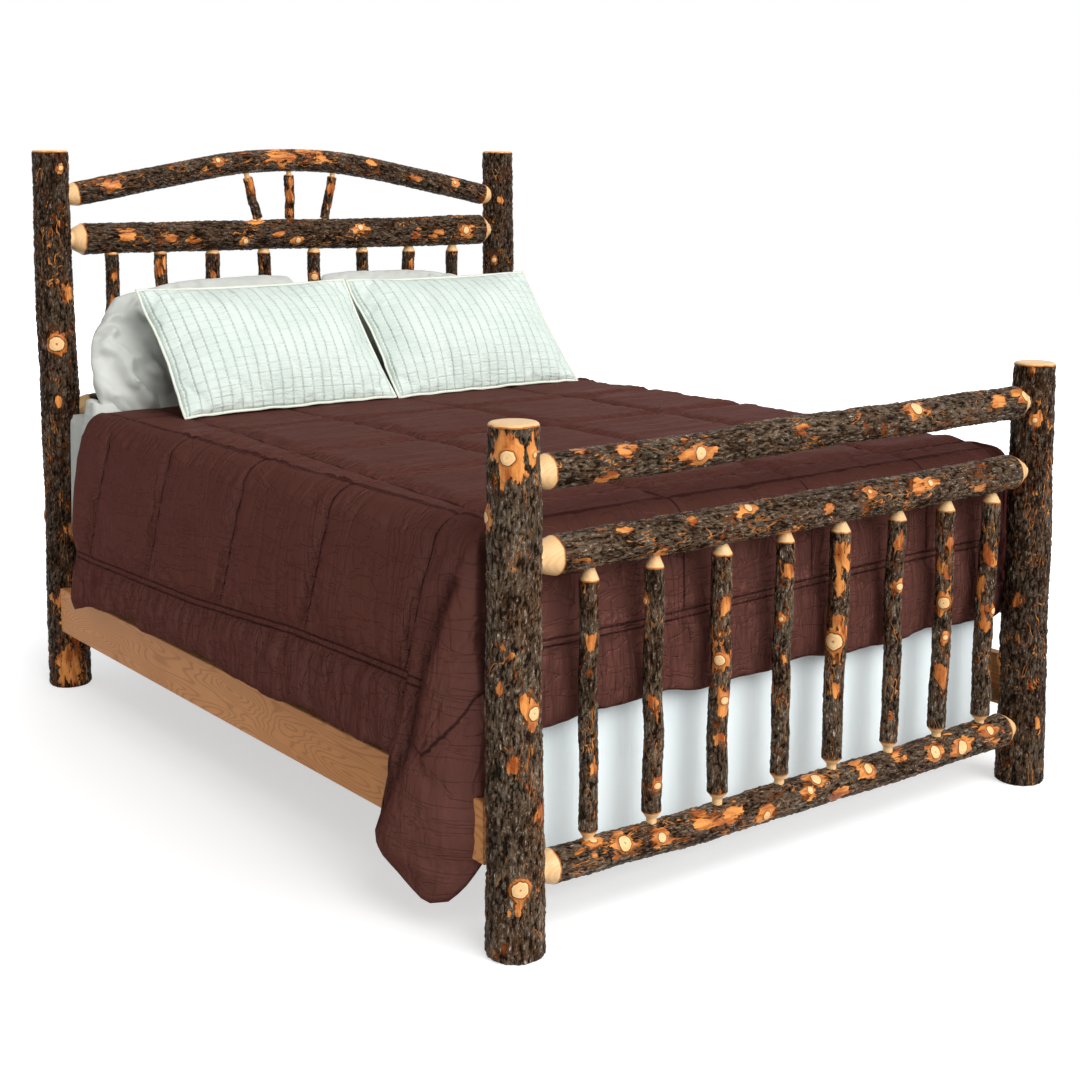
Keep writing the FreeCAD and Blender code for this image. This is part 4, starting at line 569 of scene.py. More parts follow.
def log_piece(name, line, rings, reference, step, relief, crook, bark_from, bark_to, seed, sag=0.0):
    """One log: rings of vertices about a wandering axis, with ridged bark, knots and bare ends."""
    places, sizes = rows_along(rings, step)
    line = np.asarray(line, float)
    walked = np.concatenate([[0], np.cumsum(np.linalg.norm(np.diff(line, axis=0), axis=1))])
    centres = np.stack([np.interp(places, walked, line[:, axis]) for axis in range(3)], axis=1)
    ahead = np.stack([np.interp(places + 0.004, walked, line[:, axis]) for axis in range(3)], axis=1)
    behind = np.stack([np.interp(places - 0.004, walked, line[:, axis]) for axis in range(3)], axis=1)
    tangent = (ahead - behind) / np.linalg.norm(ahead - behind, axis=1)[:, None]
    first = reference - (tangent @ reference)[:, None] * tangent
    first /= np.linalg.norm(first, axis=1)[:, None]
    second = np.cross(tangent, first)
    share = places / walked[-1]
    sideways = wander(share, crook, seed)
    centres = centres + first * sideways[0][:, None] + second * sideways[1][:, None]
    centres[:, 2] -= sag * np.sin(np.pi * share)
    widest = max(size for _, size in rings)
    sides = max(20, round(2 * np.pi * widest / step))
    angles = np.linspace(0, 2 * np.pi, sides, endpoint=False)
    out = np.cos(angles)[None, :, None] * first[:, None] + np.sin(angles)[None, :, None] * second[:, None]
    local = np.stack([np.cos(angles)[None] * sizes[:, None], np.sin(angles)[None] * sizes[:, None],
                      np.repeat(places[:, None], sides, axis=1)], axis=-1)
    shifted = local + np.array([0.37, 0.11, 0.23]) * seed
    bare = np.maximum(bark_from - places, places - bark_to)[:, None] + np.zeros(sides)
    knot = np.full(bare.shape, FAR)
    peel = np.zeros(bare.shape)
    rise = np.zeros(bare.shape)
    uneven = 1 + 0.5 * layered_noise(shifted * (75, 75, 38), 5, 3)
    for angle, place, knot_radius, patch_radius in MARKS.get(name, ()):
        turn = (angles - math.radians(angle) + np.pi) % (2 * np.pi) - np.pi
        away = np.hypot(turn[None] * sizes[:, None], places[:, None] - place)
        longer = np.hypot(turn[None] * sizes[:, None], (places[:, None] - place) / 1.5)
        core = 0.36 if knot_radius else 0.27
        peel = np.maximum(peel, core * (1 - ease(longer * uneven, patch_radius * 0.35, patch_radius * 1.55)))
        if knot_radius:
            knot = np.minimum(knot, away / knot_radius)
            rise += 0.0042 * (1 - ease(away, knot_radius * 0.55, knot_radius * 2.0))
            rise -= 0.0016 * (1 - ease(away, 0.0, knot_radius * 0.35))
    wobble = np.stack([smooth_noise(shifted * 70 + 9 * axis, 9) for axis in range(3)], axis=-1)
    bent = shifted * (125, 125, 32) + 0.65 * wobble
    ridge = np.minimum(cell_edges(bent, 3), 0.5) / 0.5
    ridge = np.clip(ridge * 0.8 + 0.25 * layered_noise(shifted * (170, 170, 60), 7, 2), 0, 1.2)
    bark = ridge * 1.9 - 1.1
    swell = layered_noise(shifted * (9, 9, 7), 11, 2) * relief * 0.9
    rough = ease(-bare, 0.0, 0.006) * (1 - 0.85 * ease(peel, 0.15, 0.3)) * (1 - ease(1.6 - knot, 0.0, 0.5))
    covered = ease(-bare, -0.004, 0.004)
    stand = relief * bark * rough + swell * covered + rise * covered
    stand *= np.minimum(1.0, sizes / (widest * 0.6))[:, None]
    points = centres[:, None] + out * (sizes[:, None] + stand)[..., None]
    faces = list(grid_quads(len(places), sides, wrap=True))
    last = (len(places) - 1) * sides
    faces += [list(range(sides))[::-1], list(range(last, last + sides))]
    piece = mesh_piece(name + "_bark", points, faces, BARK)
    keep_field(piece, "grain", shifted.reshape(-1, 3))
    keep_field(piece, "bare", bare.ravel())
    keep_field(piece, "knot", knot.ravel())
    keep_field(piece, "peel", peel.ravel())
    keep_field(piece, "ridge", ridge.ravel())
    # how much painted shade this log's bark gets
    keep_field(piece, "painted_shade", np.full(ridge.size, PAINTED_SHADES.get(name, 0.0)))
    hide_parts(name)


def shaved_end(start, end, small, large, bulge=1.0, count=6):
    """Rings of a shaved end: straight where bulge is 1, blunter where it is less."""
    share = np.linspace(0, 1, count)
    return [(start + (end - start) * s, small + (large - small) * s ** bulge) for s in share]


def make_posts():
    for index, name in enumerate(("foot_post_left", "foot_post_right", "head_post_left", "head_post_right")):
        low, high, ((_, base), (_, top)) = turned_profile(name, along=2)
        tall = high[2] - low[2]
        edge = [(tall - 0.0065, top), (tall - 0.0030, top - 0.0018), (tall - 0.0008, top - 0.0046),
                (tall, top - 0.0085)]
        shape = [(0.0, base - 0.004), (0.004, base), *edge]
        log_piece(name, (low, high), shape, RIGHT, POST_STEP, POST_RELIEF, POST_CROOK, -1.0, tall - 0.0060,
                  11 + index)


def make_straight_log(name, along, reference, step, relief, crook, seed, tenon, bulge, sag=0.0):
    """A rail or spindle: tenon, shaved cone, barked body, shaved cone, tenon."""
    low, high, ((body_start, first), (body_end, last)) = turned_profile(name, along)
    length = np.linalg.norm(high - low)
    tenon_length, small = tenon
    cone = length - tenon_length - body_end
    far_cone = [(body_end + cone * share, small + (last - small) * (1 - share) ** bulge)
                for share in np.linspace(0, 1, 6)]
    shape = [(0.0, small), *shaved_end(tenon_length, body_start, small, first, bulge), *far_cone,
             (length, small)]
    log_piece(name, (low, high), shape, reference, step, relief, crook, body_start, body_end, seed, sag)


def make_arch():
    """The bent top rail: two straight limbs that run into a round crown."""
    low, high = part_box("head_arch_rail")
    post_low, post_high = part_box("head_post_left")
    post_x = -(post_low.x + post_high.x) / 2
    depth = (low.y + high.y) / 2
    middle = np.array([ARCH_CROWN_X, depth, high.z - ARCH_RADIUS - ARCH_BEND])
    touches = []
    for side, height in ((-1, ARCH_LEFT_HEIGHT), (1, ARCH_RIGHT_HEIGHT)):
        reach = np.array([side * post_x, depth, height]) - middle
        turn = math.atan2(reach[0], reach[2]) - side * math.acos(ARCH_BEND / np.linalg.norm(reach))
        touches.append(turn)
    turns = np.linspace(touches[0], touches[1], 120)
    crown = middle + ARCH_BEND * np.stack([np.sin(turns), 0 * turns, np.cos(turns)], axis=1)
    line = list(crown)
    for side, height in ((-1, ARCH_LEFT_HEIGHT), (1, ARCH_RIGHT_HEIGHT)):
        post = np.array([side * post_x, depth, height])
        near = line[0] if side < 0 else line[-1]
        inward = (near - post) / np.linalg.norm(near - post)
        line.insert(0 if side < 0 else len(line), post + inward * 0.012)
    line = np.array(line)
    length = np.linalg.norm(np.diff(line, axis=0), axis=1).sum()
    shoulder = 0.033
    shape = [(0.0, RAIL_TENON_RADIUS),
             *shaved_end(shoulder, shoulder + ARCH_CONE, RAIL_TENON_RADIUS, ARCH_RADIUS, 0.7)]
    shape += [(length - place, size) for place, size in shape[::-1]]
    log_piece("head_arch_rail", line, shape, FRONT, RAIL_STEP, RAIL_RELIEF * 0.6, 0.002,
              shoulder + ARCH_CONE, length - shoulder - ARCH_CONE, 31)


def make_rails():
    for index, name in enumerate(("foot_top_rail", "foot_mid_rail", "foot_bottom_rail", "head_mid_rail",
                                  "head_lower_rail")):
        sag = BOTTOM_RAIL_SAG if name == "foot_bottom_rail" else 0.0
        make_straight_log(name, 0, FRONT, RAIL_STEP, RAIL_RELIEF, RAIL_CROOK, 21 + index, RAIL_TENON, 0.7,
                          sag)


def make_spindles():
    names = [f"{end}_spindle_{number}" for end in ("foot", "head") for number in range(1, 9)]
    for index, name in enumerate(names):
        make_straight_log(name, None, RIGHT, SPINDLE_STEP, SPINDLE_RELIEF, SPINDLE_CROOK, 41 + index,
                          SPINDLE_TENON, 0.9)
    for index, name in enumerate(("head_fan_left", "head_fan_centre", "head_fan_right")):
        make_straight_log(name, None, RIGHT, SPINDLE_STEP, SPINDLE_RELIEF, 0.002, 71 + index, FAN_TENON, 0.9)


# Cloth helpers


def inflate(points, faces, pinned, pressure, frames, grow=0.0, stiff=12.0, bending=0.4):
    """Run Blender's cloth on a skin, pushed outwards, and give back where its vertices went."""
    mesh = bpy.data.meshes.new("cloth_run")
    mesh.from_pydata(points.tolist(), [], faces.tolist())
    mesh.update()
    skin = bpy.data.objects.new("cloth_run", mesh)
    scene = bpy.context.scene
    scene.collection.objects.link(skin)
    group = skin.vertex_groups.new(name="held")
    group.add([int(number) for number in np.flatnonzero(pinned)], 1.0, "REPLACE")
    cloth = skin.modifiers.new("cloth", "CLOTH")
    settings = cloth.settings
    settings.quality = 5
    settings.mass = 0.3
    settings.tension_stiffness = stiff
    settings.compression_stiffness = stiff
    settings.shear_stiffness = stiff * 0.5
    settings.bending_stiffness = bending
    settings.air_damping = 6.0
    settings.use_pressure = True
    settings.uniform_pressure_force = pressure
    settings.shrink_min = -grow
    settings.effector_weights.gravity = 0.0
    if pinned.any():
        settings.vertex_group_mass = "held"
    cloth.collision_settings.use_collision = False
    cloth.point_cache.frame_start = 1
    cloth.point_cache.frame_end = frames
    for number in range(1, frames + 1):
        scene.frame_set(number)
    shape = skin.evaluated_get(bpy.context.evaluated_depsgraph_get())
    moved = vertices_of(shape)
    scene.frame_set(1)
    bpy.data.objects.remove(skin)
    bpy.data.meshes.remove(mesh)
    return moved


def keep_within(start, moved, reach):
    """Move each point at most this far from where it started."""
    step = moved - start
    length = np.linalg.norm(step, axis=1, keepdims=True)
    return start + step * np.minimum(1.0, reach / np.maximum(length, 1e-9))


def normals_of(points, faces):
    """Smooth normals of a skin of four-sided faces."""
    across = points[faces[:, 2]] - points[faces[:, 0]]
    down = points[faces[:, 3]] - points[faces[:, 1]]
    flat = np.cross(across, down)
    total = np.zeros_like(points)
    for corner in range(4):
        np.add.at(total, faces[:, corner], flat)
    return total / np.maximum(np.linalg.norm(total, axis=1, keepdims=True), 1e-12)


def finish_modifiers(piece):
    """Apply what stands on a piece, so that only plain mesh is left."""
    shape = piece.evaluated_get(bpy.context.evaluated_depsgraph_get())
    mesh = bpy.data.meshes.new_from_object(shape)
    piece.modifiers.clear()
    old = piece.data
    piece.data = mesh
    bpy.data.meshes.remove(old)
    mesh.name = piece.name


# Comforter


def hem_height(side, y):
    if side > 0:
        return RIGHT_HEM + 0.012 * math.sin(y * 9.0)
    wave = 0.008 * math.sin(y * 11.0 + 0.6) + 0.004 * math.sin(y * 27.0)
    return float(np.interp(y, LEFT_HEM_PLACES, LEFT_HEM)) + wave * float(ease(np.array(y), -0.70, -0.60))


def comforter_columns():
    """Where each hanging strip starts, which way it faces, how far it flares and where it ends."""
    strips = []

    def add(start, way, reach, hem):
        strips.append((start, way, reach, hem))

    def corner_reach(turn):
        return [float(np.interp(turn, CORNER_TURNS, row)) for row in CORNER_REACH]

    sides = np.arange(COMFORTER_HEAD_Y, POLE_Y, -COMFORTER_STEP)
    turns = np.linspace(0, 90, CORNER_STRIPS)
    foot = np.linspace(-POLE_X, POLE_X, round(2 * POLE_X / COMFORTER_STEP))[1:-1]
    for y in sides:
        add((-POLE_X, y), (-1, 0), SIDE_REACH, hem_height(-1, y))
    for turn in turns:
        angle = math.radians(180 + turn)
        add((-POLE_X, POLE_Y), (math.cos(angle), math.sin(angle)), corner_reach(turn), FOOT_HEM)
    for x in foot:
        near = float(ease(np.array(abs(x)), 0.690, POLE_X))
        reach = [FOOT_REACH + (row[-1] - FOOT_REACH) * near for row in CORNER_REACH]
        hem = FOOT_HEM - 0.008 * x + 0.006 * math.sin(x * 14 + 1.0) + 0.004 * math.sin(x * 31)
        add((x, POLE_Y), (0, -1), reach, hem)
    for turn in turns[::-1]:
        angle = math.radians(-turn)
        hem = float(np.interp(turn, CORNER_TURNS, RIGHT_CORNER_HEMS))
        add((POLE_X, POLE_Y), (math.cos(angle), math.sin(angle)), corner_reach(turn), hem)
    for y in sides[::-1]:
        add((POLE_X, y), (1, 0), SIDE_REACH, hem_height(1, y))
    return [np.array(part, float) for part in zip(*strips)] + [len(sides), len(foot)]


def signed_lines(values, lines):
    """Distance to the nearest line, whose sign turns at every line, so that it crosses 0 only there."""
    passed = np.sum(values[..., None] > np.array(lines), axis=-1)
    return nearest_line(values, lines) * np.where(passed % 2, -1.0, 1.0)


def nearest_line(values, lines):
    return np.min(np.abs(values[..., None] - np.array(lines)), axis=-1)


def dome(share):
    """Rises as a quarter of a circle does while the share goes from 0 to 1."""
    return np.sqrt(1 - (1 - np.clip(share, 0, 1)) ** 2)


def cloth_noise(across, down, seed, octaves):
    return layered_noise(np.stack([across, down, 0 * across], axis=1), seed, octaves)


def each(shapes, top_part, hang_part):
    """One value for each vertex of the comforter: those of its top, then those that hang."""
    parts = zip((top_part, hang_part), shapes)
    return np.concatenate([np.broadcast_to(part, shape).ravel() for part, shape in parts])


def make_comforter(material):
    starts, facing, reaches, hems, side_count, foot_count = comforter_columns()
    columns = len(starts)
    turned = np.degrees(np.arctan2(-facing[:, 1], -facing[:, 0]))
    on_left = np.where(turned < 0.1, starts[:, 1], POLE_Y - 0.085 * turned / 90)
    run = np.where(starts[:, 0] > -POLE_X + 1e-6, FAR, on_left)
    in_flap = run < FLAP_STARTS[-1]
    hems = np.where(in_flap, np.interp(run, FLAP_STARTS, FLAP_ENDS), hems)
    flap_out = np.where(in_flap, np.interp(run, FLAP_STARTS, FLAP_OUT), 0.0)
    flap_lean = np.where(in_flap, np.interp(run, FLAP_STARTS, FLAP_LEAN), 0.0)
    arc_rows, drop_rows = 9, COMFORTER_DROP_ROWS
    shoulder = COMFORTER_TOP - COMFORTER_EDGE_RADIUS
    ring = [np.concatenate([starts, np.full((columns, 1), COMFORTER_TOP)], axis=1)]
    levels = REACH_HEIGHTS[::-1]
    drops = [np.zeros(columns)]
    for row in range(1, arc_rows + 1):
        turn = row / arc_rows * math.pi / 2
        out = reaches[:, 0] * math.sin(turn)
        height = np.full(columns, COMFORTER_TOP - COMFORTER_EDGE_RADIUS * (1 - math.cos(turn)))
        ring.append(np.concatenate([starts + facing * out[:, None], height[:, None]], axis=1))
        drops.append(np.full(columns, COMFORTER_EDGE_RADIUS * turn))
    for row in range(1, drop_rows + 1):
        height = shoulder + (hems - shoulder) * row / drop_rows
        out = np.array([np.interp(z, levels, reach[::-1]) for z, reach in zip(height, reaches)])
        ring.append(np.concatenate([starts + facing * out[:, None], height[:, None]], axis=1))
        drops.append(COMFORTER_EDGE_RADIUS * math.pi / 2 + shoulder - height)
    hang = np.array(ring)
    drop = np.array(drops)
    # The corner's spare cloth hangs down as a flap that leans to the head and stands out
    fall = np.clip((shoulder - hang[..., 2]) / (shoulder - hems), 0, 1) ** 1.35
    hang[..., :2] += facing[None] * (flap_out * fall)[..., None]
    hang[..., 1] += flap_lean * fall
    beside = hang[..., :2] @ np.array(ACROSS)
    roll_edge = np.interp(hang[..., 2], ROLL_HEIGHTS, ROLL_EDGE)
    in_roll = (run < 0)[None] & (beside > roll_edge) & (hang[..., 2] < 0.78)
    # Top: its outer rows are the first ring of the hanging part
    first = side_count + CORNER_STRIPS
    xs = np.concatenate([[-POLE_X], starts[first:first + foot_count, 0], [POLE_X]])
    ys = np.append(starts[:side_count, 1], POLE_Y)
    top_y, top_x = np.meshgrid(ys, xs, indexing="ij")
    top = np.stack([top_x, top_y, np.full(top_x.shape, COMFORTER_TOP)], axis=-1)
    rows, cols = top_x.shape
    number = np.arange(rows * cols).reshape(rows, cols)
    rim = np.concatenate([number[:-1, 0], np.full(CORNER_STRIPS, number[-1, 0]), number[-1, 1:-1],
                          np.full(CORNER_STRIPS, number[-1, -1]), number[:-1, -1][::-1]])
    below = rows * cols + np.arange((len(hang) - 1) * columns).reshape(-1, columns)
    layers = np.concatenate([rim[None], below])
    quads = np.stack([layers[:-1, :-1], layers[1:, :-1], layers[1:, 1:], layers[:-1, 1:]],
                     axis=-1).reshape(-1, 4)
    points = np.concatenate([top.reshape(-1, 3), hang[1:].reshape(-1, 3)])
    faces = np.concatenate([grid_quads(rows, cols), quads[:, ::-1]])
    if normals_of(points, faces[:(rows - 1) * (cols - 1)])[0, 2] < 0:
        faces = faces[:, ::-1]
    # How far each vertex is from the nearest sewn line
    waved = top_y + SEAM_WAVE * np.sin(top_x * SEAM_WAVE_RATE)
    seam_top = np.minimum(nearest_line(waved, CROSS_SEAMS), nearest_line(top_x, LENGTH_SEAMS))
    shoulder_line = top_x - np.interp(top_y, SHOULDER_SEAM_Y, SHOULDER_SEAM_X)
    seam_top = np.minimum(seam_top, np.abs(shoulder_line))
    sewn_top = [signed_lines(waved, CROSS_SEAMS), signed_lines(top_x, LENGTH_SEAMS), shoulder_line]
    along = np.where(facing[:, 0] ** 2 > facing[:, 1] ** 2, starts[:, 1], starts[:, 0])
    is_foot = np.abs(facing[:, 1]) > 0.99
    heights = hang[1:, :, 2]
    shapes = (top_x.shape, heights.shape)
    places = np.repeat(along[None], len(heights), axis=0)
    fallen = drop[1:]
    seam_level = np.where(is_foot, FOOT_SEAM_HEIGHT + 0.010 * np.sin(along * 3),
                          np.interp(starts[:, 1], SIDE_SEAM_Y, SIDE_SEAM_HEIGHT))
    seam_level = np.repeat(seam_level[None], len(heights), axis=0)
    above = heights > seam_level
    lean = np.where(is_foot[None], 0.0, 0.07 * np.clip(fallen / 0.38, 0, 1) ** 2)
    crossing = places - lean + SEAM_WAVE * np.sin(POLE_X * SEAM_WAVE_RATE) * np.sign(starts[:, 0])[None]
    upright = np.where(is_foot[None], nearest_line(places, LENGTH_SEAMS), nearest_line(crossing, CROSS_SEAMS))
    corner = (np.abs(facing[:, 0]) > 0.001) & (np.abs(facing[:, 1]) > 0.001)
    upright = np.where(above & ~corner[None], upright, FAR)
    rank = np.where(is_foot, signed_lines(starts[:, 0], LENGTH_SEAMS), 1.0)[None] + 0 * heights
    cross_line = signed_lines(crossing, CROSS_SEAMS)
    below_level = np.where(above, 1.0, -1.0)
    level_line = heights - seam_level
    by_side = facing[:, 0] ** 2 > facing[:, 1] ** 2
    hand = np.where(starts[:, 0] > 0, -1.0, 1.0)[None]
    corner_x = np.where(by_side[None], 1.0, below_level) * FAR
    corner_y = np.where(by_side[None], below_level * hand, hand) * FAR
    sewn_x = np.where(is_foot[None], level_line, np.where(above, cross_line, np.sign(cross_line) * FAR))
    sewn_y = np.where(is_foot[None], np.where(above, rank, np.sign(rank) * FAR), level_line * hand)
    sewn_x, sewn_y = np.where(corner[None], corner_x, sewn_x), np.where(corner[None], corner_y, sewn_y)
    level = np.minimum(np.abs(heights - seam_level), np.abs(heights - seam_level + 0.015))
    shoulder_gap = POLE_X + np.interp(starts[:, 1], SHOULDER_SEAM_Y, SHOULDER_SEAM_X)
    edge_top = np.where(run < 0, shoulder_gap, FAR)[None] + fallen
    beside, roll_edge, in_roll = beside[1:], roll_edge[1:], in_roll[1:]
    upright, level = np.where(in_roll, FAR, upright), np.where(in_roll, FAR, level)
    sewn_x = np.where(in_roll, np.sign(sewn_x) * FAR, sewn_x)
    sewn_y = np.where(in_roll, np.sign(sewn_y) * FAR, sewn_y)
    sewn_z = np.broadcast_to(-edge_top * np.where(run < 0, 1.0, -1.0)[None], heights.shape)
    across_fold, up_fold = np.array(FOLD_LINE).T
    over_fold = heights - np.interp(beside, across_fold, up_fold)
    by_fold = in_roll & (beside > across_fold[0]) & (beside < across_fold[-1] + 0.05)
    to_roll = np.where((run < 0) & (heights < 0.72), np.abs(beside - roll_edge), FAR)
    fold = np.where(in_roll, FAR, to_roll)
    seam_hang = np.minimum(np.minimum(np.minimum(upright, level), edge_top), fold)
    to_hem = heights - hems[None]
    seam_hang = np.minimum(seam_hang, to_hem + 0.010)
    seam = each(shapes, seam_top, seam_hang)
    normal = normals_of(points, faces)
    # Rounded panels, then gathers that run away from the seams
    rolled = each(shapes, False, in_roll)
    puff = dome(seam / 0.050)
    roll_puff = dome(to_roll / 0.040)
    roll_puff *= dome((to_hem + 0.012) / 0.070)
    roll_puff *= np.where(by_fold & (over_fold < 0), 0.1 + 0.9 * dome(-over_fold / 0.070), 1.0)
    puff = np.where(rolled, each(shapes, 0.0, roll_puff), puff)
    is_top = np.arange(len(points)) < rows * cols
    tight_foot = ease(-facing[:, 1], 0.2, 0.6)[None] * ease(heights, 0.45, 0.66)
    tight = each(shapes, ease(-top_y, 0.90, 0.975), tight_foot)
    under_cushions = each(shapes, ease(top_y, 0.30, 0.45), 0.0)
    loft = np.where(is_top, COMFORTER_LOFT, np.where(rolled, FLAP_LOFT, SIDE_LOFT)) * (1 - 0.8 * tight)
    loft = loft * (1 - 0.6 * under_cushions)
    creases_top = layered_noise(points * (4, 30, 1), 21, 2) * 0.0026
    creases_top = creases_top + layered_noise(points * (11, 15, 1), 22, 2) * 0.0015
    long_way = each(shapes, 0.0, np.where((run < 0)[None], run[None], places))
    low_part = each(shapes, False, ~above)
    level_at = points[:, 2]
    streaks = cloth_noise(long_way * 24, level_at * 4, 23, 2) * 0.0016
    low_down = each(shapes, 0.0, ease(fallen, 0.12, 0.30))
    gathers = cloth_noise(long_way * 42 + level_at * 6, level_at * 9, 25, 2)
    near = np.exp(-seam / 0.045)
    puckers = cloth_noise(long_way * 9, level_at * 34 + long_way * 8, 29, 2)
    slack = cloth_noise(long_way * 9 + level_at * 7, level_at * 13, 27, 3)
    hanging = streaks * 0.6 + slack * 0.0034 + gathers * (0.0010 + 0.0052 * low_down) * near
    hanging = hanging + np.where(low_part, gathers * 0.0085, 0) + puckers * 0.0095 * low_down * near
    rough = np.where(is_top, creases_top, hanging)
    rough = np.where(rolled, slack * 0.0065 + gathers * 0.0030 * near, rough)
    rough = np.where(each(shapes, False, is_foot[None]), rough + slack * 0.0050, rough)
    rough *= ease(seam, 0.0, 0.02)
    lift = loft * puff + rough * (0.3 + 0.7 * puff)
    sewn = seam < 0.006
    start = points + normal * (lift * 0.6)[:, None]
    shape = points + normal * lift[:, None]
    edge = each(shapes, np.abs(top_y - COMFORTER_HEAD_Y) < 1e-6, to_hem < 0.004)
    held = sewn | edge
    moved = inflate(start, faces, held, 2.6, 14, grow=0.028, stiff=10.0, bending=0.12)
    room = np.where(is_top, 0.006 * (1 - 0.6 * under_cushions), np.where(rolled, 0.010, 0.008))
    moved = keep_within(start, moved, (room * (1 - 0.75 * tight))[:, None])
    inward = np.minimum(0, np.sum((moved - start) * normal, axis=1) + 0.001)
    shape = moved - normal * inward[:, None]
    # Keep clear of the foot rails and spindles
    limit = np.interp(shape[:, 2], LIMIT_HEIGHTS, LIMIT_Y)
    foot_side = each(shapes, top_y < -0.9, (facing[:, 1] < -0.6)[None])
    over = np.maximum(0, limit + 0.010 - shape[:, 1])
    shape[:, 1] = np.where(foot_side & (over > 0), limit + 0.010 - 0.010 * np.tanh(over / 0.010), shape[:, 1])
    piece = mesh_piece("comforter_quilt", shape, faces, material)
    keep_field(piece, "seam", seam)
    sewn_parts = [each(shapes, top_part, hang_part)
                  for top_part, hang_part in zip(sewn_top, (sewn_x, sewn_y, sewn_z))]
    keep_field(piece, "sewn", np.stack(sewn_parts, axis=1))
    border = np.where(in_roll | corner[None], np.where(above, FAR, -FAR), heights - seam_level + 0.015)
    keep_field(piece, "border", each(shapes, FAR, border))
    # painted shadow: distance to the fold across the roll, darkened in the colour
    crease_shadow = np.where(by_fold, over_fold, np.where(over_fold < 0, -FAR, FAR))
    in_corner = (run < 0)[None] & (heights < 0.74)
    # painted light: how much of the roll is painted lighter in the colour
    painted_light_roll = ease(beside - roll_edge, -0.014, 0.018) * (run < 0)[None] * ease(-heights, -0.78, -0.70)
    keep_field(piece, "roll", each(shapes, 0.0, painted_light_roll))
    keep_field(piece, "drop", each(shapes, 0.0, fallen))
    # painted shadow: distance to the roll's near edge, darkened in the colour
    keep_field(piece, "tuck_shadow", each(shapes, FAR, np.where(in_corner, np.abs(beside - roll_edge), FAR)))
    keep_field(piece, "crease_shadow", each(shapes, FAR, crease_shadow))
    cloth_place = np.stack([np.where(is_top, points[:, 0], long_way),
                            np.where(is_top, points[:, 1], points[:, 2]),
                            np.where(is_top, 0.0, 1.0)], axis=1)
    keep_field(piece, "weave", cloth_place)
    thick = piece.modifiers.new("wadding", "SOLIDIFY")
    thick.thickness = 0.009
    thick.offset = -1
    finish_modifiers(piece)
    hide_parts("comforter")


# Cushions


def cushion_skin(width, height, bulge, step, pinch, blunt):
    """A closed flat cushion: front and back share their rim, whose sides pull in between the corners."""
    cols, rows = round(width / step) + 1, round(height / step) + 1
    across, up = np.meshgrid(np.linspace(-1, 1, cols), np.linspace(-1, 1, rows))
    pull = 1 - pinch * (1 - up ** 2)
    draw = 1 - pinch * 1.3 * (1 - across ** 2)
    x, z = across * width / 2 * pull, up * height / 2 * draw
    x = x * (1 - blunt * up ** 6)
    z = z * (1 - blunt * across ** 6)
    swell = bulge * (np.clip(1 - across ** 4, 0, 1) * np.clip(1 - up ** 4, 0, 1)) ** 0.5
    front = np.stack([x, -swell / 2, z], axis=-1).reshape(-1, 3)
    back = np.stack([x, swell / 2, z], axis=-1)[1:-1, 1:-1].reshape(-1, 3)
    number = np.arange(rows * cols).reshape(rows, cols)
    behind = number.copy()
    behind[1:-1, 1:-1] = rows * cols + np.arange((rows - 2) * (cols - 2)).reshape(rows - 2, cols - 2)
    one = np.stack([number[:-1, :-1], number[:-1, 1:], number[1:, 1:], number[1:, :-1]], axis=-1)
    two = np.stack([behind[:-1, :-1], behind[1:, :-1], behind[1:, 1:], behind[:-1, 1:]], axis=-1)
    flat = np.stack([across * width / 2, up * height / 2], axis=-1)
    places = np.concatenate([flat.reshape(-1, 2), flat[1:-1, 1:-1].reshape(-1, 2)])
    rim = np.concatenate([number[0, :], number[1:, -1], number[-1, -2::-1], number[-2:0:-1, 0]])
    return np.concatenate([front, back]), np.concatenate([one, two]).reshape(-1, 4), places, rim


def placed(points, middle, tilt):
    """Lean a cushion back by its tilt, from lying to standing, and carry it to its place."""
    lean = math.radians(90 - tilt)
    y = points[:, 1] * math.cos(lean) + points[:, 2] * math.sin(lean)
    z = -points[:, 1] * math.sin(lean) + points[:, 2] * math.cos(lean)
    return np.stack([points[:, 0], y, z], axis=1) + np.array(middle)


def slumped(points, size):
    """A soft pillow whose outer top corner has sunk inwards, with slanting folds."""
    width, height, depth = size
    outer = ease(-points[:, 0], -0.05, width / 2)
    upper = ease(points[:, 2], -height * 0.04, height / 2)
    points[:, 0] += 0.090 * outer * upper
    points[:, 2] -= 0.040 * outer * upper
    slant = points[:, 0] * 0.8 + points[:, 2] * 0.6
    rumple = cloth_noise(slant * 17, points[:, 2] * 5 - points[:, 0] * 4, 33, 3)
    folds = np.clip(1 - 5.5 * np.abs(rumple), -1, 1)
    side = np.sign(points[:, 1]) * ease(np.abs(points[:, 1]), 0.0, depth * 0.25)
    points[:, 1] += side * 0.016 * folds * ease(-points[:, 0], -0.2, 0.1)
    return points


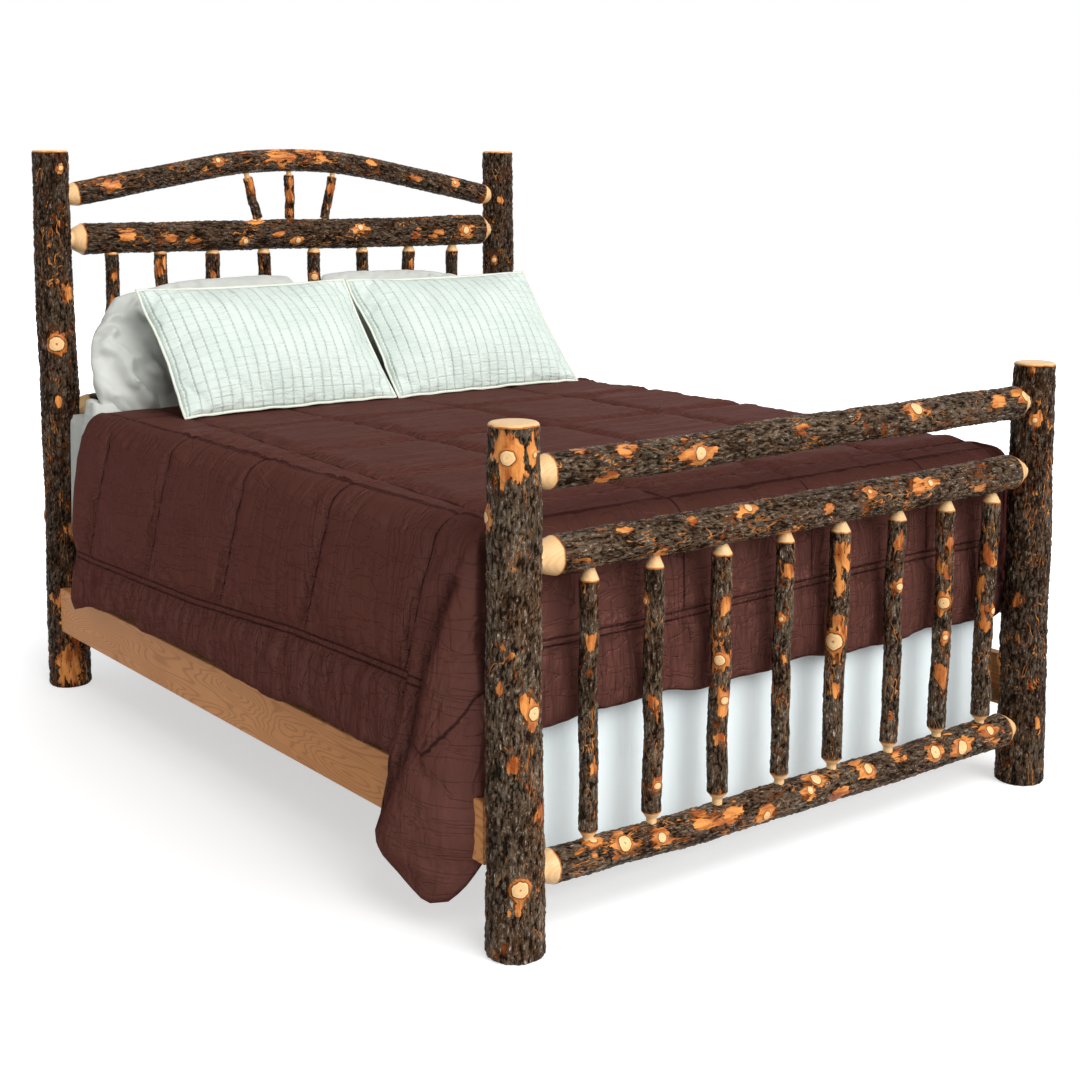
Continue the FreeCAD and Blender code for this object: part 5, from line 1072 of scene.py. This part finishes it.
def make_cushion(node_name, body, size, tilt, material, slot, pinch, blunt, step, pressure, seed,
                 mirrored=False):
    width, height, depth = size
    points, faces, places, rim = cushion_skin(width, height, depth * 0.7, step, pinch, blunt)
    ones = np.ones((len(places), 1))
    random = layered_noise(np.concatenate([places * 9, ones * (seed * 3.1)], axis=1), seed, 3)
    points[:, 1] *= 1 + 0.25 * random
    waves = layered_noise(np.concatenate([places * 14, ones * (seed * 1.7)], axis=1), seed + 4, 2)
    at_rim = np.maximum(ease(np.abs(places[:, 0]), width * 0.42, width * 0.5),
                        ease(np.abs(places[:, 1]), height * 0.40, height * 0.5))
    points[:, 1] += 0.007 * waves * at_rim
    points[:, (0, 2)] *= (1 + 0.010 * waves * at_rim)[:, None]
    sewn = np.zeros(len(points), bool)
    sewn[rim] = True
    points = inflate(points, faces, sewn, pressure, 24, grow=0.045, stiff=8.0, bending=0.15)
    points -= (points.max(axis=0) + points.min(axis=0)) / 2
    reach = points.max(axis=0) - points.min(axis=0)
    points *= np.array([width, depth, height]) / reach
    if slot == "white_cloth":
        points = slumped(points, size)
    if mirrored:
        points[:, 0] *= -1
        faces = faces[:, ::-1]
    low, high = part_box(node_name)
    shape = placed(points, (low + high) / 2, tilt)
    piece = mesh_piece(node_name + "_cover", shape, faces, material, body)
    keep_field(piece, "weave", np.concatenate([places, np.zeros((len(places), 1))], axis=1))
    smoother = piece.modifiers.new("smooth", "SUBSURF")
    smoother.levels = 1
    finish_modifiers(piece)
    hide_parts(node_name)
    return shape[rim]


def make_binding(name, body, line, material, radius=0.0035):
    """A rounded binding that runs along a cushion's rim."""
    step = np.roll(line, -1, axis=0) - np.roll(line, 1, axis=0)
    step /= np.linalg.norm(step, axis=1)[:, None]
    out = line - line.mean(axis=0)
    side = np.cross(step, out)
    side /= np.linalg.norm(side, axis=1)[:, None]
    other = np.cross(side, step)
    turns = np.linspace(0, 2 * np.pi, 7)[:-1]
    tube = line[:, None] + radius * (np.cos(turns)[None, :, None] * side[:, None] * 0.8
                                     + np.sin(turns)[None, :, None] * other[:, None] * 1.3)
    rows = len(line)
    number = np.arange(rows * 6).reshape(rows, 6)
    after = np.roll(number, -1, axis=0)
    faces = np.stack([number, np.roll(number, -1, axis=1), np.roll(after, -1, axis=1), after],
                     axis=-1).reshape(-1, 4)
    return mesh_piece(name, tube, faces, material, body)


# Mattress, box spring, sheet and skirt


def padded_block(node_name, material, edge, belly):
    """An upholstered block: rounded edges, slightly full sides, and a top and bottom dipped in a grid as deep
    as belly.
    """
    low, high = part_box(node_name)
    middle = np.array([(low.x + high.x) / 2, (low.y + high.y) / 2, (low.z + high.z) / 2])
    half = np.array([(high.x - low.x) / 2, (high.y - low.y) / 2, (high.z - low.z) / 2])
    sides = 260
    rows = 34
    turns = np.linspace(0, 2 * np.pi, sides, endpoint=False)
    cos, sin = np.cos(turns), np.sin(turns)
    plan = np.stack([np.sign(cos) * np.abs(cos) ** 0.16 * half[0],
                     np.sign(sin) * np.abs(sin) ** 0.16 * half[1]], axis=1)
    plan *= np.minimum(1, half[:2] / np.maximum(np.abs(plan).max(axis=0), 1e-9))
    shape = []
    for row in range(rows):
        t = row / (rows - 1)
        if t < 0.3:
            shape.append((0.02 + (1 - edge / half[0] - 0.02) * t / 0.3, 1.0))
        elif t > 0.7:
            shape.append((0.02 + (1 - edge / half[0] - 0.02) * (1 - t) / 0.3, -1.0))
        else:
            turn = (t - 0.3) / 0.4
            height = math.cos(turn * math.pi)
            height = math.copysign(min(1.0, abs(height) ** 0.5), height)
            bow = math.sqrt(max(0.0, 1 - height ** 4))
            shape.append((1 - edge / half[0] * (1 - bow), height))
    points = []
    for scale, height in shape:
        inset = half[0] * (1 - scale)
        ring = plan * np.maximum(0.0, (half[:2] - inset) / half[:2])
        points.append(np.column_stack([ring, np.full(sides, height * half[2])]))
    points = np.array(points)
    dimple = np.cos(points[..., 0] * 2 * np.pi / 0.28) * np.cos(points[..., 1] * 2 * np.pi / 0.28)
    flat = np.abs(points[..., 2]) > half[2] * 0.97
    points[..., 2] -= np.sign(points[..., 2]) * flat * belly * (0.5 - 0.5 * dimple)
    faces = list(grid_quads(rows, sides, wrap=True)[:, ::-1])
    faces += [list(range(sides)), list(range((rows - 1) * sides, rows * sides))[::-1]]
    piece = mesh_piece(node_name + "_cover", points.reshape(-1, 3) + middle, faces, material)
    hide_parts(node_name)


def make_sheet(material):
    """The top sheet: flat on the mattress, in soft folds at both sides, rucked at the head on the left."""
    low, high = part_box("top_sheet")
    ys = np.linspace(high.y, low.y, 190)
    left_fall = np.interp(ys, (-1.0, 0.90, 1.03), (0.46, 0.485, 0.34))
    widths = np.concatenate([np.linspace(0, 1, 46)[:-1], np.linspace(1, 2, 120)[:-1], np.linspace(2, 3, 34)])
    y, share = np.meshgrid(ys, widths, indexing="ij")
    fall = np.where(share < 1, (1 - share) * left_fall[:, None],
                    np.where(share > 2, (share - 2) * SHEET_RIGHT_DROP, 0.0))
    side = np.where(share < 1, -1.0, np.where(share > 2, 1.0, 0.0))
    folds = (np.sin(y * 31 + 1.3 * np.sin(y * 9)) * 0.5 + 0.5 * np.sin(y * 17 + 2.0))
    out = SHEET_SIDE_X + (fall > 0.012) * (0.004 + 0.009 * np.clip(fall / 0.4, 0, 1) * (1 + folds) * 0.75)
    x = np.where(side == 0, -MATTRESS_WIDTH / 2 + (share - 1) * MATTRESS_WIDTH,
                 side * np.minimum(out, SHEET_WIDEST_X))
    z = SHEET_TOP - fall
    rounded = np.exp(-(fall / 0.014) ** 2) * (side != 0)
    x = x - side * rounded * 0.004
    ruck = ease(y, 0.858, 0.880) * (1 - ease(y, 0.915, 0.955)) * ease(-x, 0.36, 0.46)
    rumple = layered_noise(np.stack([x * 13 + y * 22, y * 9 - x * 4, 0 * y], axis=-1), 61, 3)
    z = z + np.where(side == 0, ruck * (0.052 + 0.022 * rumple), 0.0)
    x = x - np.where(side < 0, ruck * np.clip(rumple, 0, 1) * 0.016, 0.0)
    x = np.clip(x, low.x, high.x)
    points = np.stack([x, y, z], axis=-1)
    faces = grid_quads(*x.shape)[:, ::-1]
    piece = mesh_piece("top_sheet_cloth", points.reshape(-1, 3), faces, material)
    keep_field(piece, "weave", np.stack([share.ravel(), y.ravel(), z.ravel()], axis=1))
    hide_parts("top_sheet")


def make_skirt(material):
    """The dust ruffle: a deck under the mattress and a lightly pleated drop at the foot."""
    low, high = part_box("bed_skirt")
    across = np.linspace(low.x, high.x, 300)
    deck = np.linspace(high.y, SKIRT_EDGE_Y, 30)
    fall = np.linspace(0, high.z - low.z - SKIRT_GAP, 48)[1:]
    x, _ = np.meshgrid(across, np.arange(len(deck) + len(fall)))
    y = np.concatenate([np.repeat(deck[:, None], len(across), 1),
                        np.full((len(fall), len(across)), SKIRT_DROP_Y)])
    z = np.concatenate([np.full((len(deck), len(across)), SKIRT_DECK_HEIGHT),
                        np.repeat(high.z - SKIRT_GAP - fall[:, None], len(across), 1)])
    drop = np.concatenate([np.zeros(len(deck)), fall])[:, None]
    pleat = 0.5 + 0.5 * np.sin(x * 34 + 1.6 * np.sin(x * 5.0) + 0.8)
    fold = pleat ** 2 * 0.6 + 0.4 * (0.5 + 0.5 * np.sin(x * 13 + 0.7))
    y = y - 0.0012 * ease(drop, 0.02, 0.25) * fold
    z = z + 0.006 * ease(drop, 0.2, 0.33) * np.sin(x * 7 + 0.5)
    points = np.stack([x, y, np.maximum(z, low.z)], axis=-1)
    piece = mesh_piece("bed_skirt_cloth", points.reshape(-1, 3), grid_quads(*x.shape)[:, ::-1], material)
    keep_field(piece, "weave", np.stack([x.ravel(), y.ravel(), z.ravel()], axis=1))
    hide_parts("bed_skirt")


# Cloth, wood and steel finishes


def cloth_material(name, dark, light, thread, depth, rough=0.85, sheen=0.25, wrinkle=None,
                   wrinkle_depth=0.0012):
    """A woven cloth: two threads that cross, with uneven tone and soft creases."""
    material, tree, surface = new_material(name, Roughness=rough, Sheen_Weight=sheen, Sheen_Roughness=0.4)
    place = node(tree, "ShaderNodeTexCoord").outputs["Object"]
    warp = node(tree, "ShaderNodeTexWave", {"Vector": place, "Scale": thread, "Distortion": 0.4},
                bands_direction="X").outputs[0]
    weft = node(tree, "ShaderNodeTexWave", {"Vector": place, "Scale": thread, "Distortion": 0.4},
                bands_direction="Z").outputs[0]
    weave = times(tree, warp, weft)
    tone = noise(tree, place, 7.0, 4.0)
    colour = mix(tree, band(tree, tone, 0.3, 0.7), dark, light)
    colour = mix(tree, times(tree, weave, 0.12), colour, dark)
    tree.links.new(colour, surface.inputs["Base Color"])
    normal = bump(tree, weave, depth, 0.5)
    if wrinkle is not None:
        creases = noise(tree, stretched(tree, place, wrinkle, (0.2, 0.5, 0.3)), 1.0, 1.5, 0.45, 0.9)
        ridges = apart(tree, creases, 0.5)
        normal = bump(tree, band(tree, ridges, 0.0, 0.16), wrinkle_depth, 0.6, normal)
    tree.links.new(normal, surface.inputs["Normal"])
    return material


def comforter_material():
    """Chocolate sateen: fine creases, stitched lines that sink in, and a brown satin shine.

    Cloth isn't metal: the metallic share stands in for the shine, because plain specular goes grey
    where it meets the white surroundings. The roll is painted lighter, a painted highlight, and the
    seam lines, fine creases, the fold across the roll and the roll's near edge get painted shade.
    """
    material, tree, surface = new_material("comforter_sateen", Roughness=0.42, Metallic=0.30)
    surface.inputs["Specular IOR Level"].default_value = 0.004
    surface.inputs["Specular Tint"].default_value = (0.40, 0.20, 0.16, 1.0)
    place = field(tree, "weave", "Vector")
    seam = field(tree, "seam")
    side = node(tree, "ShaderNodeSeparateXYZ", {"Vector": place}).outputs["Z"]
    across = noise(tree, stretched(tree, place, (4.0, 40.0, 1.0), (0, 0, 0.08)), 1.0, 3.0, 0.5, 0.5)
    upright = noise(tree, stretched(tree, place, (11.0, 3.0, 1.0), (0, 0, 0.25)), 1.0, 3.0, 0.5, 1.2)
    creases = mix(tree, side, across, upright)
    ridges = apart(tree, creases, 0.5)
    slanted = noise(tree, stretched(tree, place, (9.0, 30.0, 1.0), (0, 0, 0.9)), 1.0, 2.0, 0.5, 0.9)
    folds = apart(tree, slanted, 0.5)
    small = noise(tree, stretched(tree, place, (60.0, 60.0, 1.0)), 1.0, 3.0, 0.6, 0.8)
    near = band(tree, seam, 0.04, 0.0)
    border = field(tree, "border")
    gathered = noise(tree, stretched(tree, place, (52.0, 9.0, 1.0), (0, 0, 0.18)), 1.0, 3.0, 0.55, 0.5)
    gathered = times(tree, gathered, band(tree, border, 0.03, -0.02, 0.12, 1.0))
    puckered = noise(tree, stretched(tree, place, (13.0, 62.0, 1.0), (0, 0, 0.25)), 1.0, 2.0, 0.5, 0.6)
    sewn = node(tree, "ShaderNodeSeparateXYZ", {"Vector": field(tree, "sewn", "Vector")}).outputs
    lines = [maths(tree, "ABSOLUTE", sewn[axis]) for axis in "XYZ"] + [maths(tree, "ABSOLUTE", border)]
    closest = lines[0]
    for line in lines[1:]:
        closest = maths(tree, "MINIMUM", closest, line)
    sunk_seam = band(tree, closest, 0.0034, 0.0012)
    by_upright = times(tree, band(tree, lines[0], 0.034, 0.004), band(tree, field(tree, "drop"), 0.10, 0.30))
    tuck_shadow = band(tree, field(tree, "tuck_shadow"), 0.024, 0.0)
    crease_shadow = band(tree, maths(tree, "ABSOLUTE", field(tree, "crease_shadow")), 0.0075, 0.0015)
    warp = noise(tree, stretched(tree, place, (900.0, 260.0, 1.0)), 1.0, 2.0)
    tone = noise(tree, place, 6.0, 3.0)
    colour = mix(tree, band(tree, tone, 0.3, 0.7), (0.100, 0.0375, 0.0295), (0.110, 0.0430, 0.0340))
    # painted light: the roll is painted lighter
    colour = mix(tree, field(tree, "roll"), colour, (1.24, 1.26, 1.28), "MULTIPLY")
    colour = mix(tree, band(tree, warp, 0.35, 0.65, 0.0, 0.16), colour, (0.078, 0.036, 0.031))
    # painted shade: the fine creases are darkened
    colour = mix(tree, band(tree, ridges, 0.030, 0.0, 0.0, 0.12), colour, (0.055, 0.024, 0.021))
    # painted shade: the sunk seam lines are darkened
    colour = mix(tree, times(tree, sunk_seam, 0.75), colour, (0.022, 0.009, 0.008))
    # painted shadow along the fold across the roll
    colour = mix(tree, times(tree, crease_shadow, 0.75), colour, (0.016, 0.007, 0.006))
    # painted shadow along the roll's near edge
    colour = mix(tree, times(tree, tuck_shadow, 0.60), colour, (0.020, 0.008, 0.007))
    tree.links.new(colour, surface.inputs["Base Color"])
    normal = bump(tree, band(tree, ridges, 0.0, 0.07), 0.0022, 0.8)
    normal = bump(tree, gathered, 0.0120, 0.9, normal)
    normal = bump(tree, times(tree, puckered, by_upright), 0.0120, 1.0, normal)
    normal = bump(tree, band(tree, folds, 0.0, 0.035), 0.0020, 0.7, normal)
    normal = bump(tree, times(tree, small, near), 0.0045, 0.9, normal)
    normal = bump(tree, sunk_seam, -0.0014, 0.8, normal)
    tree.links.new(normal, surface.inputs["Normal"])
    return material


def sham_material():
    """Pale mint cotton: rows of running stitch 32 mm apart with fine puckers between them."""
    material, tree, surface = new_material("sham_stitched", Roughness=0.88, Sheen_Weight=0.2,
                                           Sheen_Roughness=0.4)
    place = field(tree, "weave", "Vector")
    parts = node(tree, "ShaderNodeSeparateXYZ", {"Vector": place})
    across, up = parts.outputs["X"], parts.outputs["Y"]
    column = off_row(tree, across, SHAM_STITCH_PITCH)
    dash = maths(tree, "LESS_THAN",
                 maths(tree, "FRACT", plus(tree, maths(tree, "DIVIDE", up, 0.0125), 40.0)), 0.50)
    line = band(tree, column, 0.050, 0.028)
    cross = off_row(tree, up, SHAM_CROSS_PITCH)
    near_end = band(tree, plus(tree, across, times(tree, noise(tree, place, 9.0), 0.12)), 0.06, -0.16)
    cross_dash = times(tree, near_end, band(tree, noise(tree, place, 70.0), 0.40, 0.52))
    cross_line = band(tree, cross, 0.060, 0.028)
    sink = band(tree, column, 0.14, 0.0)
    sink_across = band(tree, cross, 0.16, 0.0)
    puckers = noise(tree, stretched(tree, place, (26.0, 150.0, 1.0)), 1.0, 3.0, 0.55, 0.6)
    colour = mix(tree, band(tree, noise(tree, place, 8.0, 3.0), 0.3, 0.7), (0.62, 0.71, 0.65),
                 (0.69, 0.77, 0.715))
    # painted shade: the cloth is darker in the sunk rows of stitching
    colour = mix(tree, times(tree, sink, 0.16), colour, (0.52, 0.62, 0.55))
    colour = mix(tree, times(tree, times(tree, line, dash), 0.8), colour, (0.40, 0.44, 0.35))
    colour = mix(tree, times(tree, times(tree, cross_line, cross_dash), 0.45), colour, (0.44, 0.48, 0.39))
    tree.links.new(colour, surface.inputs["Base Color"])
    normal = bump(tree, sink, -0.0030, 0.8)
    normal = bump(tree, sink_across, -0.0012, 0.6, normal)
    normal = bump(tree, puckers, 0.0048, 0.8, normal)
    normal = bump(tree, times(tree, line, dash), 0.0012, 0.8, normal)
    tree.links.new(normal, surface.inputs["Normal"])
    return material


def board_material(name, dark, light, line, rough, coat, turn, scale=1.0):
    """Flat-sawn board: cathedral figure down its length, fine pores and an uneven satin varnish."""
    material, tree, surface = new_material(name, Coat_Weight=coat, Coat_Roughness=0.3)
    surface.inputs["Specular IOR Level"].default_value = 0.10
    place = node(tree, "ShaderNodeTexCoord").outputs["Object"]
    turned = stretched(tree, place, (scale, scale, scale), turn)
    swell = noise(tree, stretched(tree, turned, (6.0, 1.9, 13.0)), 1.0, 1.5, 0.45, 0.3)
    figure = apart(tree, maths(tree, "FRACT", times(tree, swell, 30.0)), 0.5)
    rings = band(tree, figure, 0.26, 0.02)
    pores = noise(tree, stretched(tree, turned, (420.0, 12.0, 420.0)), 1.0, 3.0, 0.6)
    tone = noise(tree, turned, 3.0, 3.0)
    colour = mix(tree, band(tree, tone, 0.3, 0.7), dark, light)
    colour = mix(tree, times(tree, rings, 0.6), colour, line)
    colour = mix(tree, band(tree, pores, 0.58, 0.75, 0.0, 0.45), colour, line)
    tree.links.new(colour, surface.inputs["Base Color"])
    surface.inputs["Roughness"].default_value = rough
    normal = bump(tree, rings, 0.0003, 0.4)
    normal = bump(tree, pores, 0.0004, 0.4, normal)
    tree.links.new(normal, surface.inputs["Normal"])
    return material


def steel_material(name, base, rough):
    material, tree, surface = new_material(name, Metallic=1.0)
    place = node(tree, "ShaderNodeTexCoord").outputs["Object"]
    streaks = noise(tree, stretched(tree, place, (40.0, 40.0, 600.0)), 1.0, 3.0)
    clouds = node(tree, "ShaderNodeTexVoronoi", {"Vector": place, "Scale": 160.0}).outputs["Color"]
    spangle = node(tree, "ShaderNodeSeparateXYZ", {"Vector": clouds}).outputs["X"]
    worn = tuple(part * 0.7 for part in base)
    colour = mix(tree, times(tree, spangle, 0.35), base, worn)
    tree.links.new(colour, surface.inputs["Base Color"])
    tree.links.new(band(tree, streaks, 0.3, 0.7, rough, rough + 0.15), surface.inputs["Roughness"])
    tree.links.new(bump(tree, streaks, 0.0001, 0.4), surface.inputs["Normal"])
    return material


def dress(material, *names):
    for name in names:
        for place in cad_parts[name].material_slots:
            place.material = material


# Camera, light and floor


def make_camera():
    data = bpy.data.cameras.new("photo_camera")
    data.sensor_width = 36.0
    data.lens = CAMERA_LENS
    data.shift_x, data.shift_y = CAMERA_SHIFT
    data.clip_end = 60
    camera = bpy.data.objects.new("photo_camera", data)
    bpy.context.scene.collection.objects.link(camera)
    camera.location = CAMERA_PLACE
    camera.rotation_euler = (math.radians(90 + CAMERA_PITCH), 0, math.radians(CAMERA_YAW))
    bpy.context.scene.camera = camera


def soft_sun(name, towards, strength, spread):
    """A distant soft light that shines from the given direction."""
    data = bpy.data.lights.new(name, "SUN")
    data.energy = strength
    data.angle = math.radians(spread)
    lamp = bpy.data.objects.new(name, data)
    bpy.context.scene.collection.objects.link(lamp)
    aim = -np.array(towards, float)
    lamp.rotation_euler = (math.atan2(math.hypot(aim[0], aim[1]), -aim[2]), 0, math.atan2(-aim[0], aim[1]))


def make_light():
    """A soft key over the foot of the bed and white all round."""
    soft_sun("key", (0.06, -1.0, 0.90), 2.60, 48)
    soft_sun("fill", (0.20, -1.0, 0.20), 1.25, 80)
    world = bpy.data.worlds.new("studio")
    bpy.context.scene.world = world
    world.use_nodes = True
    tree = world.node_tree
    seen = see_through_white(tree)
    room = node(tree, "ShaderNodeBackground", {"Color": (1, 1, 1, 1), "Strength": 0.30})
    white = node(tree, "ShaderNodeBackground", {"Color": (1, 1, 1, 1), "Strength": 1.0})
    both = node(tree, "ShaderNodeMixShader", {0: seen, 1: room.outputs[0], 2: white.outputs[0]})
    tree.links.new(both.outputs[0], tree.nodes["World Output"].inputs["Surface"])


def see_through_white(tree):
    """1 for rays that look at the background: straight, in a reflection or through glass."""
    path = node(tree, "ShaderNodeLightPath")
    seen = maths(tree, "MAXIMUM", path.outputs["Is Camera Ray"], path.outputs["Is Glossy Ray"])
    return maths(tree, "MAXIMUM", seen, path.outputs["Is Transmission Ray"])


def make_floor():
    """A plain pale floor whose lit parts go to white and which keeps the bed's soft shadow."""
    mesh = bpy.data.meshes.new("floor")
    reach = 14.0
    mesh.from_pydata([(-reach, -reach, 0), (reach, -reach, 0), (reach, reach, 0), (-reach, reach, 0)], [],
                     [(0, 1, 2, 3)])
    floor = bpy.data.objects.new("floor", mesh)
    bpy.context.scene.collection.objects.link(floor)
    material = bpy.data.materials.new("floor_white")
    material.use_nodes = True
    tree = material.node_tree
    surface = tree.nodes["Principled BSDF"]
    surface.inputs["Base Color"].default_value = (0.62, 0.62, 0.62, 1)
    surface.inputs["Roughness"].default_value = 0.9
    surface.inputs["Specular IOR Level"].default_value = 0.0
    away = node(tree, "ShaderNodeVectorMath", {0: node(tree, "ShaderNodeTexCoord").outputs["Object"]},
                operation="LENGTH").outputs["Value"]
    glow = node(tree, "ShaderNodeEmission",
                {"Color": (1, 1, 1, 1), "Strength": band(tree, away, 1.1, 2.4, 0.54, 1.0)})
    added = node(tree, "ShaderNodeAddShader", {0: surface.outputs[0], 1: glow.outputs[0]})
    both = node(tree, "ShaderNodeMixShader",
                {0: see_through_white(tree), 1: surface.outputs[0], 2: added.outputs[0]})
    tree.links.new(both.outputs[0], tree.nodes["Material Output"].inputs["Surface"])
    mesh.materials.append(material)


make_camera()
make_light()
make_floor()
make_posts()
make_rails()
make_arch()
make_spindles()

WHITE = cloth_material("white_cotton", (0.50, 0.515, 0.475), (0.59, 0.605, 0.565), 700.0, 0.0001,
                       wrinkle=(7.0, 10.0, 8.0), wrinkle_depth=0.004)
SKIRT = cloth_material("skirt_cotton", (0.85, 0.925, 0.94), (0.88, 0.95, 0.96), 600.0, 0.0001,
                       wrinkle=(30.0, 4.0, 3.0))
TICKING = cloth_material("ticking_cotton", (0.74, 0.75, 0.76), (0.80, 0.81, 0.81), 500.0, 0.0002)
SHAM = sham_material()
SHAM_EDGE = cloth_material("sham_binding", (0.68, 0.72, 0.62), (0.75, 0.78, 0.69), 800.0, 0.0001)
padded_block("box_spring", TICKING, 0.03, 0.0)
padded_block("mattress", TICKING, 0.045, 0.006)
make_sheet(WHITE)
make_skirt(SKIRT)
make_comforter(comforter_material())
for side, flip in (("left", False), ("right", True)):
    make_cushion("pillow_" + side, "pillow_" + side + "_body", PILLOW_SIZE, PILLOW_TILT, WHITE, "white_cloth",
                 0.015, 0.07, 0.011, 4.0, 5, flip)
    rim = make_cushion("sham_" + side, "sham_" + side + "_body", SHAM_SIZE, SHAM_TILT, SHAM, "sham_cloth",
                       0.028, 0.0, 0.010, 5.0, 8, flip)
    make_binding("sham_" + side + "_binding", "sham_" + side + "_body", rim, SHAM_EDGE)

BOARD = board_material("rail_varnish", (0.70, 0.30, 0.108), (0.79, 0.36, 0.135), (0.47, 0.175, 0.050),
                       0.48, 0.02, (0, 0, 0))
PINE = board_material("slat_pine", (0.62, 0.47, 0.29), (0.70, 0.56, 0.37), (0.52, 0.35, 0.18), 0.7, 0.0,
                      (0, 0, math.pi / 2))
dress(BOARD, "side_rail_left", "side_rail_right")
dress(PINE, "cleat_left", "cleat_right", *[f"slat_{number}" for number in range(1, 6)])
corners = [f"{end}_{side}" for end in ("foot", "head") for side in ("left", "right")]
plates = [f"{kind}_plate_{corner}" for kind in ("hook", "slot") for corner in corners]
dress(steel_material("zinc_plate", (0.60, 0.60, 0.61), 0.32), *plates)
dress(steel_material("zinc_screw", (0.66, 0.63, 0.53), 0.28),
      "hook_plate_screws", "slot_plate_screws", "cleat_screws", "slat_screws")

bpy.context.scene.view_settings.view_transform = "Standard"
